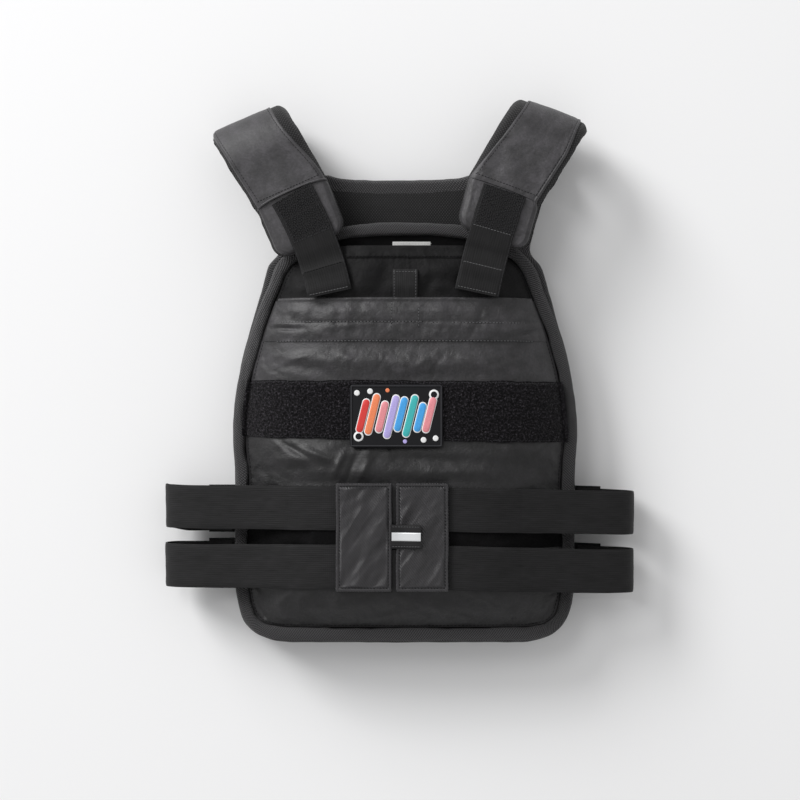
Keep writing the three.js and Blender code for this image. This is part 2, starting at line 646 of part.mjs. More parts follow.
// A waist band: along the front face, out to its tip, and back under to its tab on the rear panel
const tabTop = REAR_RIM - EDGE_ROLL - GAP;
const tabEnd = halfPanel + SIDE_TAB_REACH;
const bandMiddle = (side, row, x) =>
  BAND_CENTRE + (row.up * BAND_PITCH) / 2 - (side[row.fall] * Math.abs(x)) / side.tip;
function bandStations(side, row) {
  const leave = halfPanel * 0.66;
  const start = side.side * CLOSURE_SHIFT + CLOSURE_SLOT + BAND_TUCK * 0.25;
  const face = steps(Math.max(6, start), leave, 6).map((x) => new THREE.Vector2(x, waistFace(x)));
  const [last, end] = face.slice(-2);
  const slope = (end.y - last.y) / (end.x - last.x);
  const tip = new THREE.Vector2(side.tip - ELASTIC, BAND_TIP_Z);
  const out = new THREE.CubicBezierCurve(
    end, new THREE.Vector2(mix(end.x, tip.x, 0.6), end.y + slope * 0.5 * (tip.x - end.x)),
    new THREE.Vector2(tip.x, mix(tip.y, end.y, 0.62)), tip,
  );
  const seat = new THREE.Vector2(tabEnd + 2, tabTop + GAP + ELASTIC);
  const back = new THREE.CubicBezierCurve(
    tip, new THREE.Vector2(tip.x, mix(tip.y, seat.y, 0.75)),
    new THREE.Vector2(mix(tip.x, seat.x, 0.35), seat.y), seat,
  );
  const route = [
    ...face.slice(0, -1),
    ...out.getPoints(12).slice(0, -1),
    ...back.getPoints(8),
    new THREE.Vector2(halfPanel + 3, seat.y),
  ];
  const across = new THREE.Vector3(0, side.side, 0);
  return withNormals(route.map(({ x, y }) => ({
    at: new THREE.Vector3(side.side * x, bandMiddle(side, row, x), y), across, half: BAND_WIDTH / 2,
  })));
}

function addWaistBands(side) {
  for (const row of [
    { name: "upper", up: 1, fall: "fallUpper" },
    { name: "lower", up: -1, fall: "fallLower" },
  ]) {
    const name = `${row.name}_${side.name}`;
    addPiece(`waist_band_${name}`, "elastic", sweep(bandStations(side, row), flatSection(ELASTIC)));
    const plan = (u, v) => ({ x: side.side * u, y: bandMiddle(side, row, u) + v });
    addPiece(`side_tab_${name}`, "webbing", sheet(
      steps(halfPanel - EDGE_BAND, tabEnd, 4), steps(-SIDE_TAB_WIDTH / 2, SIDE_TAB_WIDTH / 2, 1), plan,
      () => tabTop, () => tabTop - WEBBING,
    ));
  }
}

// Two closure flaps over the inner ends of the bands, with a pull tab across their slot
function addClosure() {
  const flapUnder = (x) => waistFace(x) + ELASTIC + GAP + 0.2;
  const low = BAND_CENTRE - FLAP_HEIGHT / 2;
  const onClosure = (lift) => (x) => flapUnder(x) + lift;
  const plan = (u, v) => ({ x: u, y: v });
  for (const side of SIDES) {
    const inner = CLOSURE_SHIFT + (side.side * CLOSURE_SLOT) / 2;
    const outer = inner + side.side * CLOSURE_WIDTH;
    addPiece(`closure_flap_${side.name}`, "twill", sheet(
      steps(inner, outer, 6), steps(low, low + FLAP_HEIGHT, 2), plan,
      onClosure(CLOSURE_THICKNESS), onClosure(0),
    ));
  }
  const pullLeft = CLOSURE_SHIFT - CLOSURE_SLOT / 2;
  const pulls = [
    ["pull_tab", "webbing", PULL_HEIGHT, CLOSURE_THICKNESS + GAP, PULL_THICKNESS],
    [
      "reflective_strip", "reflector", STRIP_HEIGHT,
      CLOSURE_THICKNESS + PULL_THICKNESS + 2 * GAP, STRIP_THICKNESS,
    ],
  ];
  for (const [name, look, height, lift, thickness] of pulls) {
    addPiece(name, look, sheet(
      steps(pullLeft, pullLeft + PULL_LENGTH, 4),
      steps(BAND_CENTRE - height / 2, BAND_CENTRE + height / 2, 1), plan,
      onClosure(lift + thickness), onClosure(lift),
    ));
  }
}

addRearPanel();
addFrontPanel();
addFaceDetails();
addClosure();
for (const side of SIDES) {
  addShoulder(side);
  addWaistBands(side);
}

// The middle of the vest's outline on the floor is the origin
const middle = new THREE.Box3().setFromObject(root).getCenter(new THREE.Vector3());
root.children.forEach((mesh) => mesh.geometry.translate(-middle.x, -middle.y, 0));

export default root;
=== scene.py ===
"""A weighted training vest lying on its back with its front panel up.

Shapes are worked out in millimetres from the middle of the front panel's bottom edge, +Y towards the
shoulders, and moved into the frame's metres when a mesh is made.
"""

import math

import bpy
import numpy as np
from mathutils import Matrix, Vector


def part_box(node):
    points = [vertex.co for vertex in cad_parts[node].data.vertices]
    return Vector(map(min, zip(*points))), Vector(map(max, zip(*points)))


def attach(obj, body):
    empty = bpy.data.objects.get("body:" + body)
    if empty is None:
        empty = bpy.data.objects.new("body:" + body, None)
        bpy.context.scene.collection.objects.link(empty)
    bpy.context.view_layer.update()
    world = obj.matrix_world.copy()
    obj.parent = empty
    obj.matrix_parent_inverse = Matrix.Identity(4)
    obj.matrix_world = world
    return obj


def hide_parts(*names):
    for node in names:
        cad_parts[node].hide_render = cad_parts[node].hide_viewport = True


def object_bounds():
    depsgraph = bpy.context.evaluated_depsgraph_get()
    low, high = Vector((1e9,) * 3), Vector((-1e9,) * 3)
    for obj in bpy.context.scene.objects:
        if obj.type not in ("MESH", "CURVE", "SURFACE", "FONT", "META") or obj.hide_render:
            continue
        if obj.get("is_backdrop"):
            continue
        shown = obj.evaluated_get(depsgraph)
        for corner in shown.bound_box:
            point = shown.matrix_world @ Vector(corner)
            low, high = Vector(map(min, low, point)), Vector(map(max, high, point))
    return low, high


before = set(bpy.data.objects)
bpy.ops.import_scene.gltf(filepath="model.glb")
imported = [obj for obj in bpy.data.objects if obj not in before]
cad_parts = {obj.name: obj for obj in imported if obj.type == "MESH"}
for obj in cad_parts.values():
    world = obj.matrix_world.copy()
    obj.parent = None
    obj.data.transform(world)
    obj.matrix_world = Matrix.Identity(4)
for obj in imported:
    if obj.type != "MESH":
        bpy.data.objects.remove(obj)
CAD_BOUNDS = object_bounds()

# Panels, millimetres
PANEL_WIDTH = 324.0
HALF_PANEL = PANEL_WIDTH / 2
FRONT_HEIGHT = 389.0
REAR_HEIGHT = 439.0
REAR_BASE = -5.0
PAD_THICKNESS = 12.0
EDGE_BAND = 12.0
EDGE_ROLL = 5.0
REAR_RIM = 14.0
REAR_FILL = 25.0
FRONT_FILL = 22.0
TORSO_HOLLOW = 12.0
EAR_ROUND = 13.0
CLOTH = 1.6
GAP = 0.3
WEBBING = 1.8
ELASTIC = 1.8
ON_FACE = 0.5

# Pocket mouth and what lies on the front face
MOUTH_LINE = FRONT_HEIGHT - 22.5
MOUTH_DEPTH = 45.0
MOUTH_GAP = 12.0
MOUTH_WIDTH = 150.0
HEM_WIDTH = 11.5
HEM_LENGTH = 108.0
FLAP_TOP = FRONT_HEIGHT - 70.2
FLAP_WIDTH = 40.0
LOOP_TOP = FRONT_HEIGHT - 148.5
LOOP_WIDTH = 51.5
PATCH_WIDTH, PATCH_HEIGHT, PATCH_SHIFT = 85.5, 58.0, -8.0
PATCH_LOW = LOOP_TOP - (LOOP_WIDTH + PATCH_HEIGHT) / 2 - 5
TAB_WIDTH, TAB_LENGTH = 23.0, 25.5
LABEL_WIDTH, LABEL_SHIFT = 35.0, 6.0

# Shoulder pads
SHOULDER_WIDTH = 74.0
SHOULDER_THICKNESS = 12.0
SHOULDER_TURN = 31.0
FOLD_REACH = 5.2
SHOULDER_REACH = 126.0
SHOULDER_BEND = 80.0
SEAM_AT = {-1: 73.0, 1: 78.0}
SHOULDER_REAR = 62.0
EAR_SEAM = 4.4
PAD_CROWN = 0.54
FACE_LIFT = SHOULDER_THICKNESS * PAD_CROWN + GAP
STRAP_WIDTH, STRAP_LENGTH, STRAP_FOLD, STRAP_DROP = 41.0, 99.0, 26.0, 20.0

# Waist bands and closure
BAND_WIDTH = 40.5
BAND_PITCH = 53.0
BAND_CENTRE = 98.5
BAND_TIP_Z = 30.0
TAB_TOP = REAR_RIM - EDGE_ROLL - GAP
TAB_END = HALF_PANEL + 25
SIDE_TAB_WIDTH = 45.0
FLAP_HEIGHT = 99.5
CLOSURE_WIDTH = 50.5
CLOSURE_SLOT = 2.0
CLOSURE_SHIFT = -12.0
CLOSURE_THICKNESS = 3.0
PULL_LENGTH, PULL_HEIGHT, PULL_THICKNESS = 29.0, 22.0, 1.6
STRIP_HEIGHT, STRIP_THICKNESS = 8.5, 0.6
CLOSURE_REST = ELASTIC + GAP + 0.2
PULL_MIDDLE = BAND_CENTRE + 0.9
PULL_RISE = 4.6

# Shares of the simulated cloth that are used: the cover, and each shoulder face by its side
COVER_SHARE = 0.9
FACE_SHARE = {-1: 0.12, 1: 0.5}
STRAP_BOX_END = 117.0

# The four sides of a grid, with whether a wall on that side is turned over
GRID_SIDES = ((np.s_[0, :], True), (np.s_[-1, :], False), (np.s_[:, 0], False), (np.s_[:, -1], True))

SIDES = {
    "left": dict(side=-1, foldOut=146.6, foldUp=483.4, seamLean=24, lean=31, endLean=22,
                 strapLean=31, strapEndLean=12, tip=226, fallUpper=0, fallLower=2.5),
    "right": dict(side=1, foldOut=136.7, foldUp=490.5, seamLean=20.5, lean=31.5, endLean=15,
                  strapLean=19, strapEndLean=12, tip=216, fallUpper=6.5, fallLower=8.5),
}

# Half outlines from the bottom middle up the side: shares of half the width and of the height
FRONT_OUTLINE = [
    (0.5, 0), (0.74, 0.0015), (0.86, 0.014), (0.935, 0.045), (0.98, 0.113), (0.988, 0.21),
    (0.981, 0.38), (1.0, 0.47), (0.995, 0.55), (0.957, 0.648), (0.88, 0.758), (0.8, 0.843),
    (0.741, 0.9), (0.66, 0.936), (0.525, 0.967), (0.32, 0.994),
]
REAR_OUTLINE = [
    (0.5, 0), (0.74, 0.0015), (0.87, 0.018), (0.95, 0.05), (0.99, 0.109), (0.993, 0.285),
    (1.0, 0.4), (1.0, 0.5), (0.957, 0.608), (0.895, 0.69), (0.845, 0.752), (0.8, 0.809),
    (0.735, 0.843),
]

# Folds of the loaded cover: middle (x, y), tilt in degrees, half length, half width, lift
FOLDS = [
    (-16, 259, -2, 97, 7.1, 2.2), (65, 249, 4, 52, 6.5, -1.6), (-97, 255, -12, 32, 6.5, -1.8),
    (-100, 171, 6, 45, 7.1, 2.4), (-36, 167, 78, 16, 6.5, 1.6), (32, 169, -3, 65, 7.1, -3.0),
    (113, 175, -8, 32, 7.8, 2.2), (-73, 34, 4, 52, 7.8, 1.8), (57, 32, -5, 65, 7.8, 1.6),
    (-73, 319, 62, 23, 6.5, -1.8), (78, 315, -60, 26, 6.5, -1.8),
]
FLAP_FOLDS = [
    (-112, 290.5, -3, 14, 1.9, -1.6), (-112, 294.5, -3, 15, 2.2, 1.2), (114, 287, 14, 17, 1.9, -1.6),
    (111, 291, 14, 17, 2.2, 1.2), (-60, 292, 4, 22, 2.6, 0.8), (50, 293, -4, 22, 2.6, 0.8),
    (-30, 309, 78, 9, 6, 0.35), (28, 309, 98, 9, 6, 0.35), (-90, 309, 75, 9, 7, 0.4),
    (82, 309, 100, 9, 7, 0.4),
]
FINE_FOLDS = [
    (36, 344, 10, 22, 9, 1.6), (-38, 338, 70, 20, 9, 1.0), (-20, 334, 76, 16, 7, -0.9),
    (22, 330, 70, 12, 6, -1.5), (100, 322, -60, 22, 7, -1.5), (-100, 318, 60, 22, 7, 1.5),
    (-112, 291, -3, 14, 2.4, -1.7), (-112, 296, -3, 16, 3.0, 0.8), (115, 288, 14, 16, 2.4, -1.7),
    (110, 294, 14, 18, 3.0, 0.8), (-86, 306, 84, 13, 4, -0.7), (-52, 306, 88, 13, 5, 0.7),
    (34, 307, 86, 13, 5, 0.7), (70, 306, 92, 13, 4, -0.7), (0, 275, 3, 60, 4, -0.8),
    (-4, 182, -1, 52, 5.5, -1.8), (-52, 181, 14, 20, 4, -1.2), (60, 180, -5, 38, 5, -0.9),
    (-118, 184, -38, 20, 3.2, 1.3), (-104, 180, -30, 26, 2.6, -1.2), (-84, 176, -24, 22, 3.0, 1.2),
    (-62, 164, 64, 15, 3.0, 1.4), (-50, 160, 70, 13, 2.4, -1.0), (-40, 156, 60, 12, 2.6, 1.1),
    (122, 176, 36, 16, 2.6, -1.4), (134, 182, 40, 12, 2.4, 1.2), (-96, 264, 20, 24, 3.0, 1.0),
    (-58, 268, -36, 16, 3.2, 0.9), (20, 262, 30, 18, 3.4, 0.9), (58, 262, -28, 22, 3.0, 0.8),
    (98, 258, 18, 20, 3.0, 0.9), (-20, 24, 12, 30, 3.4, 0.8), (-112, 40, 48, 14, 3.0, 1.1),
    (112, 36, -44, 15, 3.0, 1.0), (12, 38, -20, 26, 3.0, 0.7),
]


# Small numeric helpers
def clamp01(t):
    return np.clip(t, 0.0, 1.0)


def smooth(t):
    t = clamp01(t)
    return t * t * (3 - 2 * t)


def mix(a, b, t):
    return a + (b - a) * t


def noise(x, y, size, seed):
    """Smooth seeded heights from -1 to 1, with features about size long."""
    table = np.random.default_rng(seed).uniform(-1.0, 1.0, (61, 61))
    u, v = np.asarray(x) / size + 17.3, np.asarray(y) / size + 5.7
    i, j = np.floor(u).astype(int), np.floor(v).astype(int)
    fu, fv = smooth(u - i), smooth(v - j)
    pick = lambda a, b: table[a % 61, b % 61]
    low = mix(pick(i, j), pick(i + 1, j), fu)
    high = mix(pick(i, j + 1), pick(i + 1, j + 1), fu)
    return mix(low, high, fv)


def unit(vectors):
    return vectors / np.maximum(np.linalg.norm(vectors, axis=-1, keepdims=True), 1e-9)


def lengths_along(points):
    """Distance of each point of a polyline from its start."""
    return np.concatenate([[0], np.cumsum(np.linalg.norm(np.diff(points, axis=0), axis=1))])


def resample(points, count, closed=False):
    """Equally spaced points along a polyline."""
    line = np.vstack([points, points[:1]]) if closed else np.asarray(points, float)
    run = lengths_along(line)
    at = np.linspace(0, run[-1], count, endpoint=not closed)
    return np.stack([np.interp(at, run, line[:, k]) for k in range(line.shape[1])], axis=1)


def closed_curve(points, count):
    """A centripetal spline through the points, the same one as the CAD outline."""
    p = np.asarray(points, float)
    t = np.linspace(0, 1, 60, endpoint=False)[:, None]
    pieces = []
    for i in range(len(p)):
        a, b, c, d = (p[(i + k) % len(p)] for k in (-1, 0, 1, 2))
        ab, bc, cd = (np.linalg.norm(n - m) ** 0.5 for m, n in ((a, b), (b, c), (c, d)))
        leave = ((b - a) / ab - (c - a) / (ab + bc) + (c - b) / bc) * bc
        reach = ((c - b) / bc - (d - b) / (bc + cd) + (d - c) / cd) * bc
        pieces.append((2 * t**3 - 3 * t**2 + 1) * b + (t**3 - 2 * t**2 + t) * leave
                      + (3 * t**2 - 2 * t**3) * c + (t**3 - t**2) * reach)
    return resample(np.vstack(pieces), count, closed=True)


# Meshes
_tab_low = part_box("tab_loop")[0]
_tab_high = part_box("tab_loop")[1]
SHIFT = np.array([(_tab_low.x + _tab_high.x) * 500, _tab_low.y * 1000 - (FLAP_TOP + GAP), 0.0])


class Piece:
    """Grids and stitches of one piece, gathered before its mesh is made. u and v are millimetres."""

    def __init__(self):
        self.points, self.faces, self.uvs, self.slots = [], [], [], []
        self.count = 0

    def grid(self, at, u, v, slot=0, around=False, flip=False):
        """at[row, column] are points. around joins the last column to the first."""
        rows, cols = at.shape[:2]
        wide = cols + 1 if around else cols
        u = np.broadcast_to(u, (rows, wide))
        v = np.broadcast_to(v, (rows, wide))
        base = self.count
        self.points.append(at.reshape(-1, 3))
        self.count += rows * cols
        r, c = np.meshgrid(np.arange(rows - 1), np.arange(wide - 1), indexing="ij")
        corners = [(r, c), (r, c + 1), (r + 1, c + 1), (r + 1, c)]
        if flip:
            corners.reverse()
        self.faces.append(np.stack([base + a * cols + b % cols for a, b in corners], -1).reshape(-1, 4))
        self.uvs.append(np.stack([np.stack([u[a, b], v[a, b]], -1) for a, b in corners], -2).reshape(-1, 2))
        self.slots.append(np.full((rows - 1) * (wide - 1), slot))
        return self

    def tube(self, at, u, v, slot=0):
        """Closed rings of points, their two ends drawn together."""
        def end(ring):
            middle = ring.mean(0)
            return np.stack([middle + (ring - middle) * s for s in (0.02, 0.5, 0.85)])
        whole = np.concatenate([end(at[0]), at, end(at[-1])[::-1]])
        u = np.broadcast_to(u, (at.shape[0], at.shape[1] + 1))
        v = np.broadcast_to(v, u.shape)
        pad = lambda w: np.concatenate([np.repeat(w[:1], 3, 0), w, np.repeat(w[-1:], 3, 0)])
        nxt = np.roll(whole, -1, 1)
        up, un = whole[1:], nxt[1:]
        volume = np.einsum("rci,rci->", whole[:-1], np.cross(nxt[:-1], un))
        volume += np.einsum("rci,rci->", whole[:-1], np.cross(un, up))
        return self.grid(whole, pad(u), pad(v), slot, around=True, flip=volume < 0)

    def slab(self, top, under, u, v, slot=0):
        """A sheet with two faces whose four sides are closed by walls."""
        wall = lambda a, b: np.stack([a, mix(a, b, 0.5), b])
        self.grid(top, u, v, slot)
        self.grid(under, u, v, slot, flip=True)
        u = np.broadcast_to(u, top.shape[:2])
        v = np.broadcast_to(v, top.shape[:2])
        for pick, flip in GRID_SIDES:
            self.grid(wall(top[pick], under[pick]), u[pick][None], v[pick][None], slot, flip=flip)
        return self

    def stitches(self, path, up, slot, pitch=3.3, length=2.5, radius=0.32, skip=0.0, pits=None):
        """A row of thread along a path, each stitch sunk at both ends. pits adds short dark stitches between, in that
        slot: painted shade of the needle holes.
        """
        # The dark stitches between are painted shade of the needle holes.
        if pits is not None:
            self.stitches(path, up, pits, pitch, pitch - length + 0.35, radius * 1.15, skip + pitch / 2)
        run = lengths_along(path)
        where = np.arange(pitch / 2 + skip, run[-1], pitch)
        if len(where) == 0:
            return self
        pick = lambda a, s: np.stack([np.interp(s, run, a[:, k]) for k in range(3)], 1)
        middle = pick(path, where)
        along = unit(pick(path, where + length / 4) - pick(path, where - length / 4))
        up = unit(pick(np.broadcast_to(up, path.shape), where))
        aside = unit(np.cross(up, along))
        spans = np.array([-0.5, -0.32, 0.32, 0.5])
        girths = np.array([0.35, 0.95, 0.95, 0.35])
        drops = np.array([-0.42, 0.0, 0.0, -0.42])
        turns = np.arange(5) * 2 * math.pi / 5
        ring = (aside[:, None, None] * (np.cos(turns) * radius)[None, None, :, None]
                + up[:, None, None] * (np.sin(turns) * radius)[None, None, :, None])
        at = (middle[:, None, None] + along[:, None, None] * (spans * length)[None, :, None, None]
              + up[:, None, None] * (drops * radius * 1.6 + 0.1)[None, :, None, None]
              + ring * girths[None, :, None, None])
        n = len(where)
        base = self.count
        self.points.append(at.reshape(-1, 3))
        self.count += n * 20
        s, r, c = np.meshgrid(np.arange(n), np.arange(3), np.arange(5), indexing="ij")
        corner = lambda dr, dc: base + s * 20 + (r + dr) * 5 + (c + dc) % 5
        self.faces.append(np.stack([corner(0, 1), corner(0, 0), corner(1, 0), corner(1, 1)], -1).reshape(-1, 4))
        place = np.stack([s * pitch + r, c * 0.4], -1).astype(float)
        self.uvs.append(np.repeat(place.reshape(-1, 1, 2), 4, 1).reshape(-1, 2))
        self.slots.append(np.full(n * 15, slot))
        return self

    def make(self, name, materials, node, slot, fill=None):
        """Builds the mesh in metres, shifts it into the frame, hangs it under the root body and hides the CAD part of
        the node that it stands for.
        """
        points = (np.vstack(self.points) + SHIFT) * 0.001
        faces = np.vstack(self.faces)
        mesh = bpy.data.meshes.new(name)
        mesh.vertices.add(len(points))
        mesh.vertices.foreach_set("co", points.astype(np.float32).ravel())
        mesh.loops.add(faces.size)
        mesh.loops.foreach_set("vertex_index", faces.astype(np.int32).ravel())
        mesh.polygons.add(len(faces))
        mesh.polygons.foreach_set("loop_start", np.arange(0, faces.size, 4, dtype=np.int32))
        mesh.polygons.foreach_set("material_index", np.concatenate(self.slots).astype(np.int32))
        mesh.update(calc_edges=True)
        layer = mesh.uv_layers.new(name="UVMap")
        layer.data.foreach_set("uv", (np.vstack(self.uvs) * 0.001).astype(np.float32).ravel())
        for material in materials:
            mesh.materials.append(material)
        mesh.polygons.foreach_set("use_smooth", np.ones(len(faces), bool))
        mesh.validate()
        mesh.update()
        piece = bpy.data.objects.new(name, mesh)
        bpy.context.scene.collection.objects.link(piece)
        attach(piece, "root")
        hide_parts(node)
        return piece


def settle(name, start, held, growth, pressure, steps, cap, flip=False):
    """Blows a sewn sheet up a little with the cloth solver; returns how far each point moved, in mm."""
    rows, cols = start.shape[:2]
    mesh = bpy.data.meshes.new(name)
    r, c = np.meshgrid(np.arange(rows - 1), np.arange(cols - 1), indexing="ij")
    quads = np.stack([r * cols + c, r * cols + c + 1, (r + 1) * cols + c + 1, (r + 1) * cols + c], -1)
    if flip:
        quads = quads[..., ::-1]
    mesh.from_pydata((start.reshape(-1, 3) * 0.001).tolist(), [], quads.reshape(-1, 4).tolist())
    sheet = bpy.data.objects.new(name, mesh)
    bpy.context.scene.collection.objects.link(sheet)
    group = sheet.vertex_groups.new(name="held")
    group.add([int(i) for i in np.flatnonzero(held.ravel())], 1.0, "ADD")
    cloth = sheet.modifiers.new("cloth", "CLOTH")
    settings = cloth.settings
    settings.quality = 6
    settings.mass = 0.2
    settings.tension_stiffness = 30
    settings.compression_stiffness = 30
    settings.shear_stiffness = 12
    settings.bending_stiffness = 0.08
    settings.vertex_group_mass = "held"
    settings.pin_stiffness = 5.0
    settings.use_pressure = True
    settings.uniform_pressure_force = pressure
    settings.shrink_min = -growth
    settings.effector_weights.gravity = 0.0
    cloth.collision_settings.use_collision = False
    cloth.collision_settings.use_self_collision = False
    cloth.point_cache.frame_start = 1
    cloth.point_cache.frame_end = steps
    scene = bpy.context.scene
    for step in range(1, steps + 1):
        scene.frame_set(step)
    shown = sheet.evaluated_get(bpy.context.evaluated_depsgraph_get())
    ended = np.zeros(rows * cols * 3, np.float32)
    shown.data.vertices.foreach_get("co", ended)
    moved = ended.reshape(rows, cols, 3).astype(float) * 1000 - start
    bpy.data.objects.remove(sheet)
    scene.frame_set(1)
    far = np.linalg.norm(moved, axis=-1, keepdims=True)
    return moved * (np.tanh(far / cap) * cap / np.maximum(far, 1e-6))


def stretch(values, rows, cols):
    """A grid of values read at finer rows and columns, given as shares from 0 to 1."""
    r = np.clip(rows, 0, 1) * (values.shape[0] - 1)
    c = np.clip(cols, 0, 1) * (values.shape[1] - 1)
    r0 = np.minimum(r.astype(int), values.shape[0] - 2)
    c0 = np.minimum(c.astype(int), values.shape[1] - 2)
    fr, fc = smooth(r - r0)[..., None], smooth(c - c0)[..., None]
    fr, fc = (0.5 * (fr + (r - r0)[..., None]), 0.5 * (fc + (c - c0)[..., None]))
    low = mix(values[r0, c0], values[r0, c0 + 1], fc)
    high = mix(values[r0 + 1, c0], values[r0 + 1, c0 + 1], fc)
    return mix(low, high, fr)


# Materials
class Look:
    """A procedural cloth material. Lengths are metres, read from the piece's own UV map."""

    def __init__(self, name, roughness, **fixed):
        self.material = bpy.data.materials.new(name)
        self.material.use_nodes = True
        self.tree = self.material.node_tree
        self.shader = self.tree.nodes["Principled BSDF"]
        self.shader.inputs["Roughness"].default_value = roughness
        for socket, value in fixed.items():
            self.shader.inputs[socket.replace("_", " ")].default_value = value
        self.place = self.add("TexCoord").outputs["UV"]
        self.normal = None

    def add(self, kind, values=None, links=None, **settings):
        node = self.tree.nodes.new("ShaderNode" + kind)
        for key, value in settings.items():
            setattr(node, key, value)
        for key, value in (values or {}).items():
            node.inputs[key].default_value = value
        for key, output in (links or {}).items():
            self.tree.links.new(output, node.inputs[key])
        return node

    def math(self, operation, a, b=None):
        node = self.tree.nodes.new("ShaderNodeMath")
        node.operation = operation
        for slot, value in ((0, a), (1, b)):
            if value is None:
                continue
            if isinstance(value, (int, float)):
                node.inputs[slot].default_value = value
            else:
                self.tree.links.new(value, node.inputs[slot])
        return node.outputs[0]

    def turned(self, degrees):
        return self.add("Mapping", {"Rotation": (0, 0, math.radians(degrees))}, {"Vector": self.place}).outputs[0]

    def lines(self, pitch, degrees=0.0, wobble=0.0):
        """Soft lines from 0 to 1 that repeat across the turned U direction at a pitch in mm."""
        where = self.turned(degrees)
        wave = self.add("TexWave", {"Scale": 314.159 / pitch, "Distortion": wobble, "Detail": 1.0,
                                    "Detail Scale": 1.2}, {"Vector": where})
        return wave.outputs["Fac"]

    def speckle(self, size, detail=3.0, rough=0.55, distortion=0.0, squeeze=(1, 1, 1)):
        """Noise from 0 to 1 whose features are about size mm."""
        where = self.add("Mapping", {"Scale": squeeze}, {"Vector": self.place}).outputs[0]
        tex = self.add("TexNoise", {"Scale": 1000.0 / size, "Detail": detail, "Roughness": rough,
                                    "Distortion": distortion}, {"Vector": where})
        return tex.outputs["Fac"]

    def colour(self, factor, stops):
        ramp = self.add("ValToRGB", links={"Fac": factor})
        elements = ramp.color_ramp.elements
        while len(elements) < len(stops):
            elements.new(0.5)
        for element, (position, rgb) in zip(elements, stops):
            element.position = position
            element.color = (*rgb, 1.0)
        self.tree.links.new(ramp.outputs["Color"], self.shader.inputs["Base Color"])
        return self

    def rough(self, factor, low, high):
        span = self.add("MapRange", {"To Min": low, "To Max": high}, {"Value": factor})
        self.tree.links.new(span.outputs[0], self.shader.inputs["Roughness"])
        return self

    def bump(self, height, depth, strength=1.0):
        """Adds relief, depth in mm, on top of what is there."""
        node = self.add("Bump", {"Strength": strength, "Distance": depth * 0.001}, {"Height": height})
        if self.normal is not None:
            self.tree.links.new(self.normal, node.inputs["Normal"])
        self.normal = node.outputs["Normal"]
        self.tree.links.new(self.normal, self.shader.inputs["Normal"])
        return self


def grey(value, purple=0.0):
    return (value * (1 + purple * 0.5), value * (1 - purple * 0.3), value * (1 + purple))


def nylon(name, tone, roughness=0.58, gloss=0.34, relief=1.0):
    look = Look(name, roughness, Specular_IOR_Level=gloss, Sheen_Weight=0.04, Sheen_Roughness=0.4)
    weave = look.math("MULTIPLY", look.lines(0.55), look.lines(0.55, 90))
    cloud = look.speckle(16, 4, 0.6)
    fine = look.speckle(1.9, 3, 0.75, 0.0, (1.0, 0.6, 1))
    mixed = look.math("ADD", look.math("MULTIPLY", cloud, 0.62), look.math("MULTIPLY", fine, 0.38))
    look.colour(mixed, [(0.36, grey(tone * 0.55, 0.05)), (0.5, grey(tone, 0.06)), (0.65, grey(tone * 1.7, 0.08))])
    look.rough(cloud, roughness - 0.12, roughness + 0.1)
    look.bump(look.speckle(8, 5, 0.66, 0.7), 0.8 * relief, 0.75)
    look.bump(look.speckle(2.6, 3, 0.6, 0.3), 0.22, 0.6)
    look.bump(weave, 0.1, 0.5)
    return look.material


def air_mesh(name, tone):
    """Knitted mesh with a close lattice of small pits."""
    look = Look(name, 0.85, Specular_IOR_Level=0.15, Sheen_Weight=0.1, Sheen_Roughness=0.6)
    pits = look.math("MULTIPLY", look.lines(2.0, 38, 0.3), look.lines(2.0, -38, 0.3))
    look.colour(look.math("ADD", pits, look.math("MULTIPLY", look.speckle(8), 0.25)),
                [(0.16, grey(tone * 0.45)), (0.75, grey(tone * 2.0, 0.04))])
    look.bump(pits, 0.5, 0.8)
    look.bump(look.speckle(12, 2), 0.5, 0.4)
    return look.material


def edge_tape(name, tone):
    """Ribbed tape whose fine ribs run slanting across a rolled edge."""
    look = Look(name, 0.8, Specular_IOR_Level=0.2, Sheen_Weight=0.12, Sheen_Roughness=0.5)
    ribs = look.math("MULTIPLY", look.lines(1.75, 40, 0.5), look.math("ADD", look.lines(2.4, -35, 0.4), 1.4))
    look.colour(look.math("ADD", look.math("MULTIPLY", ribs, 0.8), look.math("MULTIPLY", look.speckle(6), 0.25)),
                [(0.2, grey(tone * 0.25)), (0.8, grey(tone * 3.4, 0.04))])
    look.bump(ribs, 0.7, 0.9)
    return look.material


def webbing(name, tone, pitch, cross, depth=0.22):
    """Woven tape: lines along U, finer picks across it."""
    look = Look(name, 0.7, Specular_IOR_Level=0.18, Sheen_Weight=0.05, Sheen_Roughness=0.5)
    along = look.lines(pitch, 90)
    streak = look.speckle(1.1, 3, 0.7, 0.0, (0.06, 1, 1))
    picks = look.lines(cross, 0, 0.4)
    worn = look.speckle(14, 4, 0.6, 0.0, (0.4, 1, 1))
    mixed = look.math("ADD", look.math("MULTIPLY", along, 0.12),
                      look.math("ADD", look.math("MULTIPLY", streak, 0.5), look.math("MULTIPLY", worn, 0.28)))
    look.colour(mixed, [(0.3, grey(tone * 0.5)), (0.7, grey(tone * 1.7, 0.05))])
    look.bump(along, depth * 0.6, 0.6)
    look.bump(streak, depth * 1.3, 0.7)
    look.bump(picks, depth * 0.5, 0.4)
    return look.material


def loop_pile(name, tone):
    look = Look(name, 0.95, Specular_IOR_Level=0.1, Sheen_Weight=0.12, Sheen_Roughness=0.4)
    fuzz = look.speckle(1.7, 3, 0.7, 0.6)
    look.colour(fuzz, [(0.4, grey(tone * 0.3, 0.12)), (0.54, grey(tone, 0.12)), (0.66, grey(tone * 5.5, 0.12))])
    look.bump(fuzz, 1.0, 1.0)
    return look.material


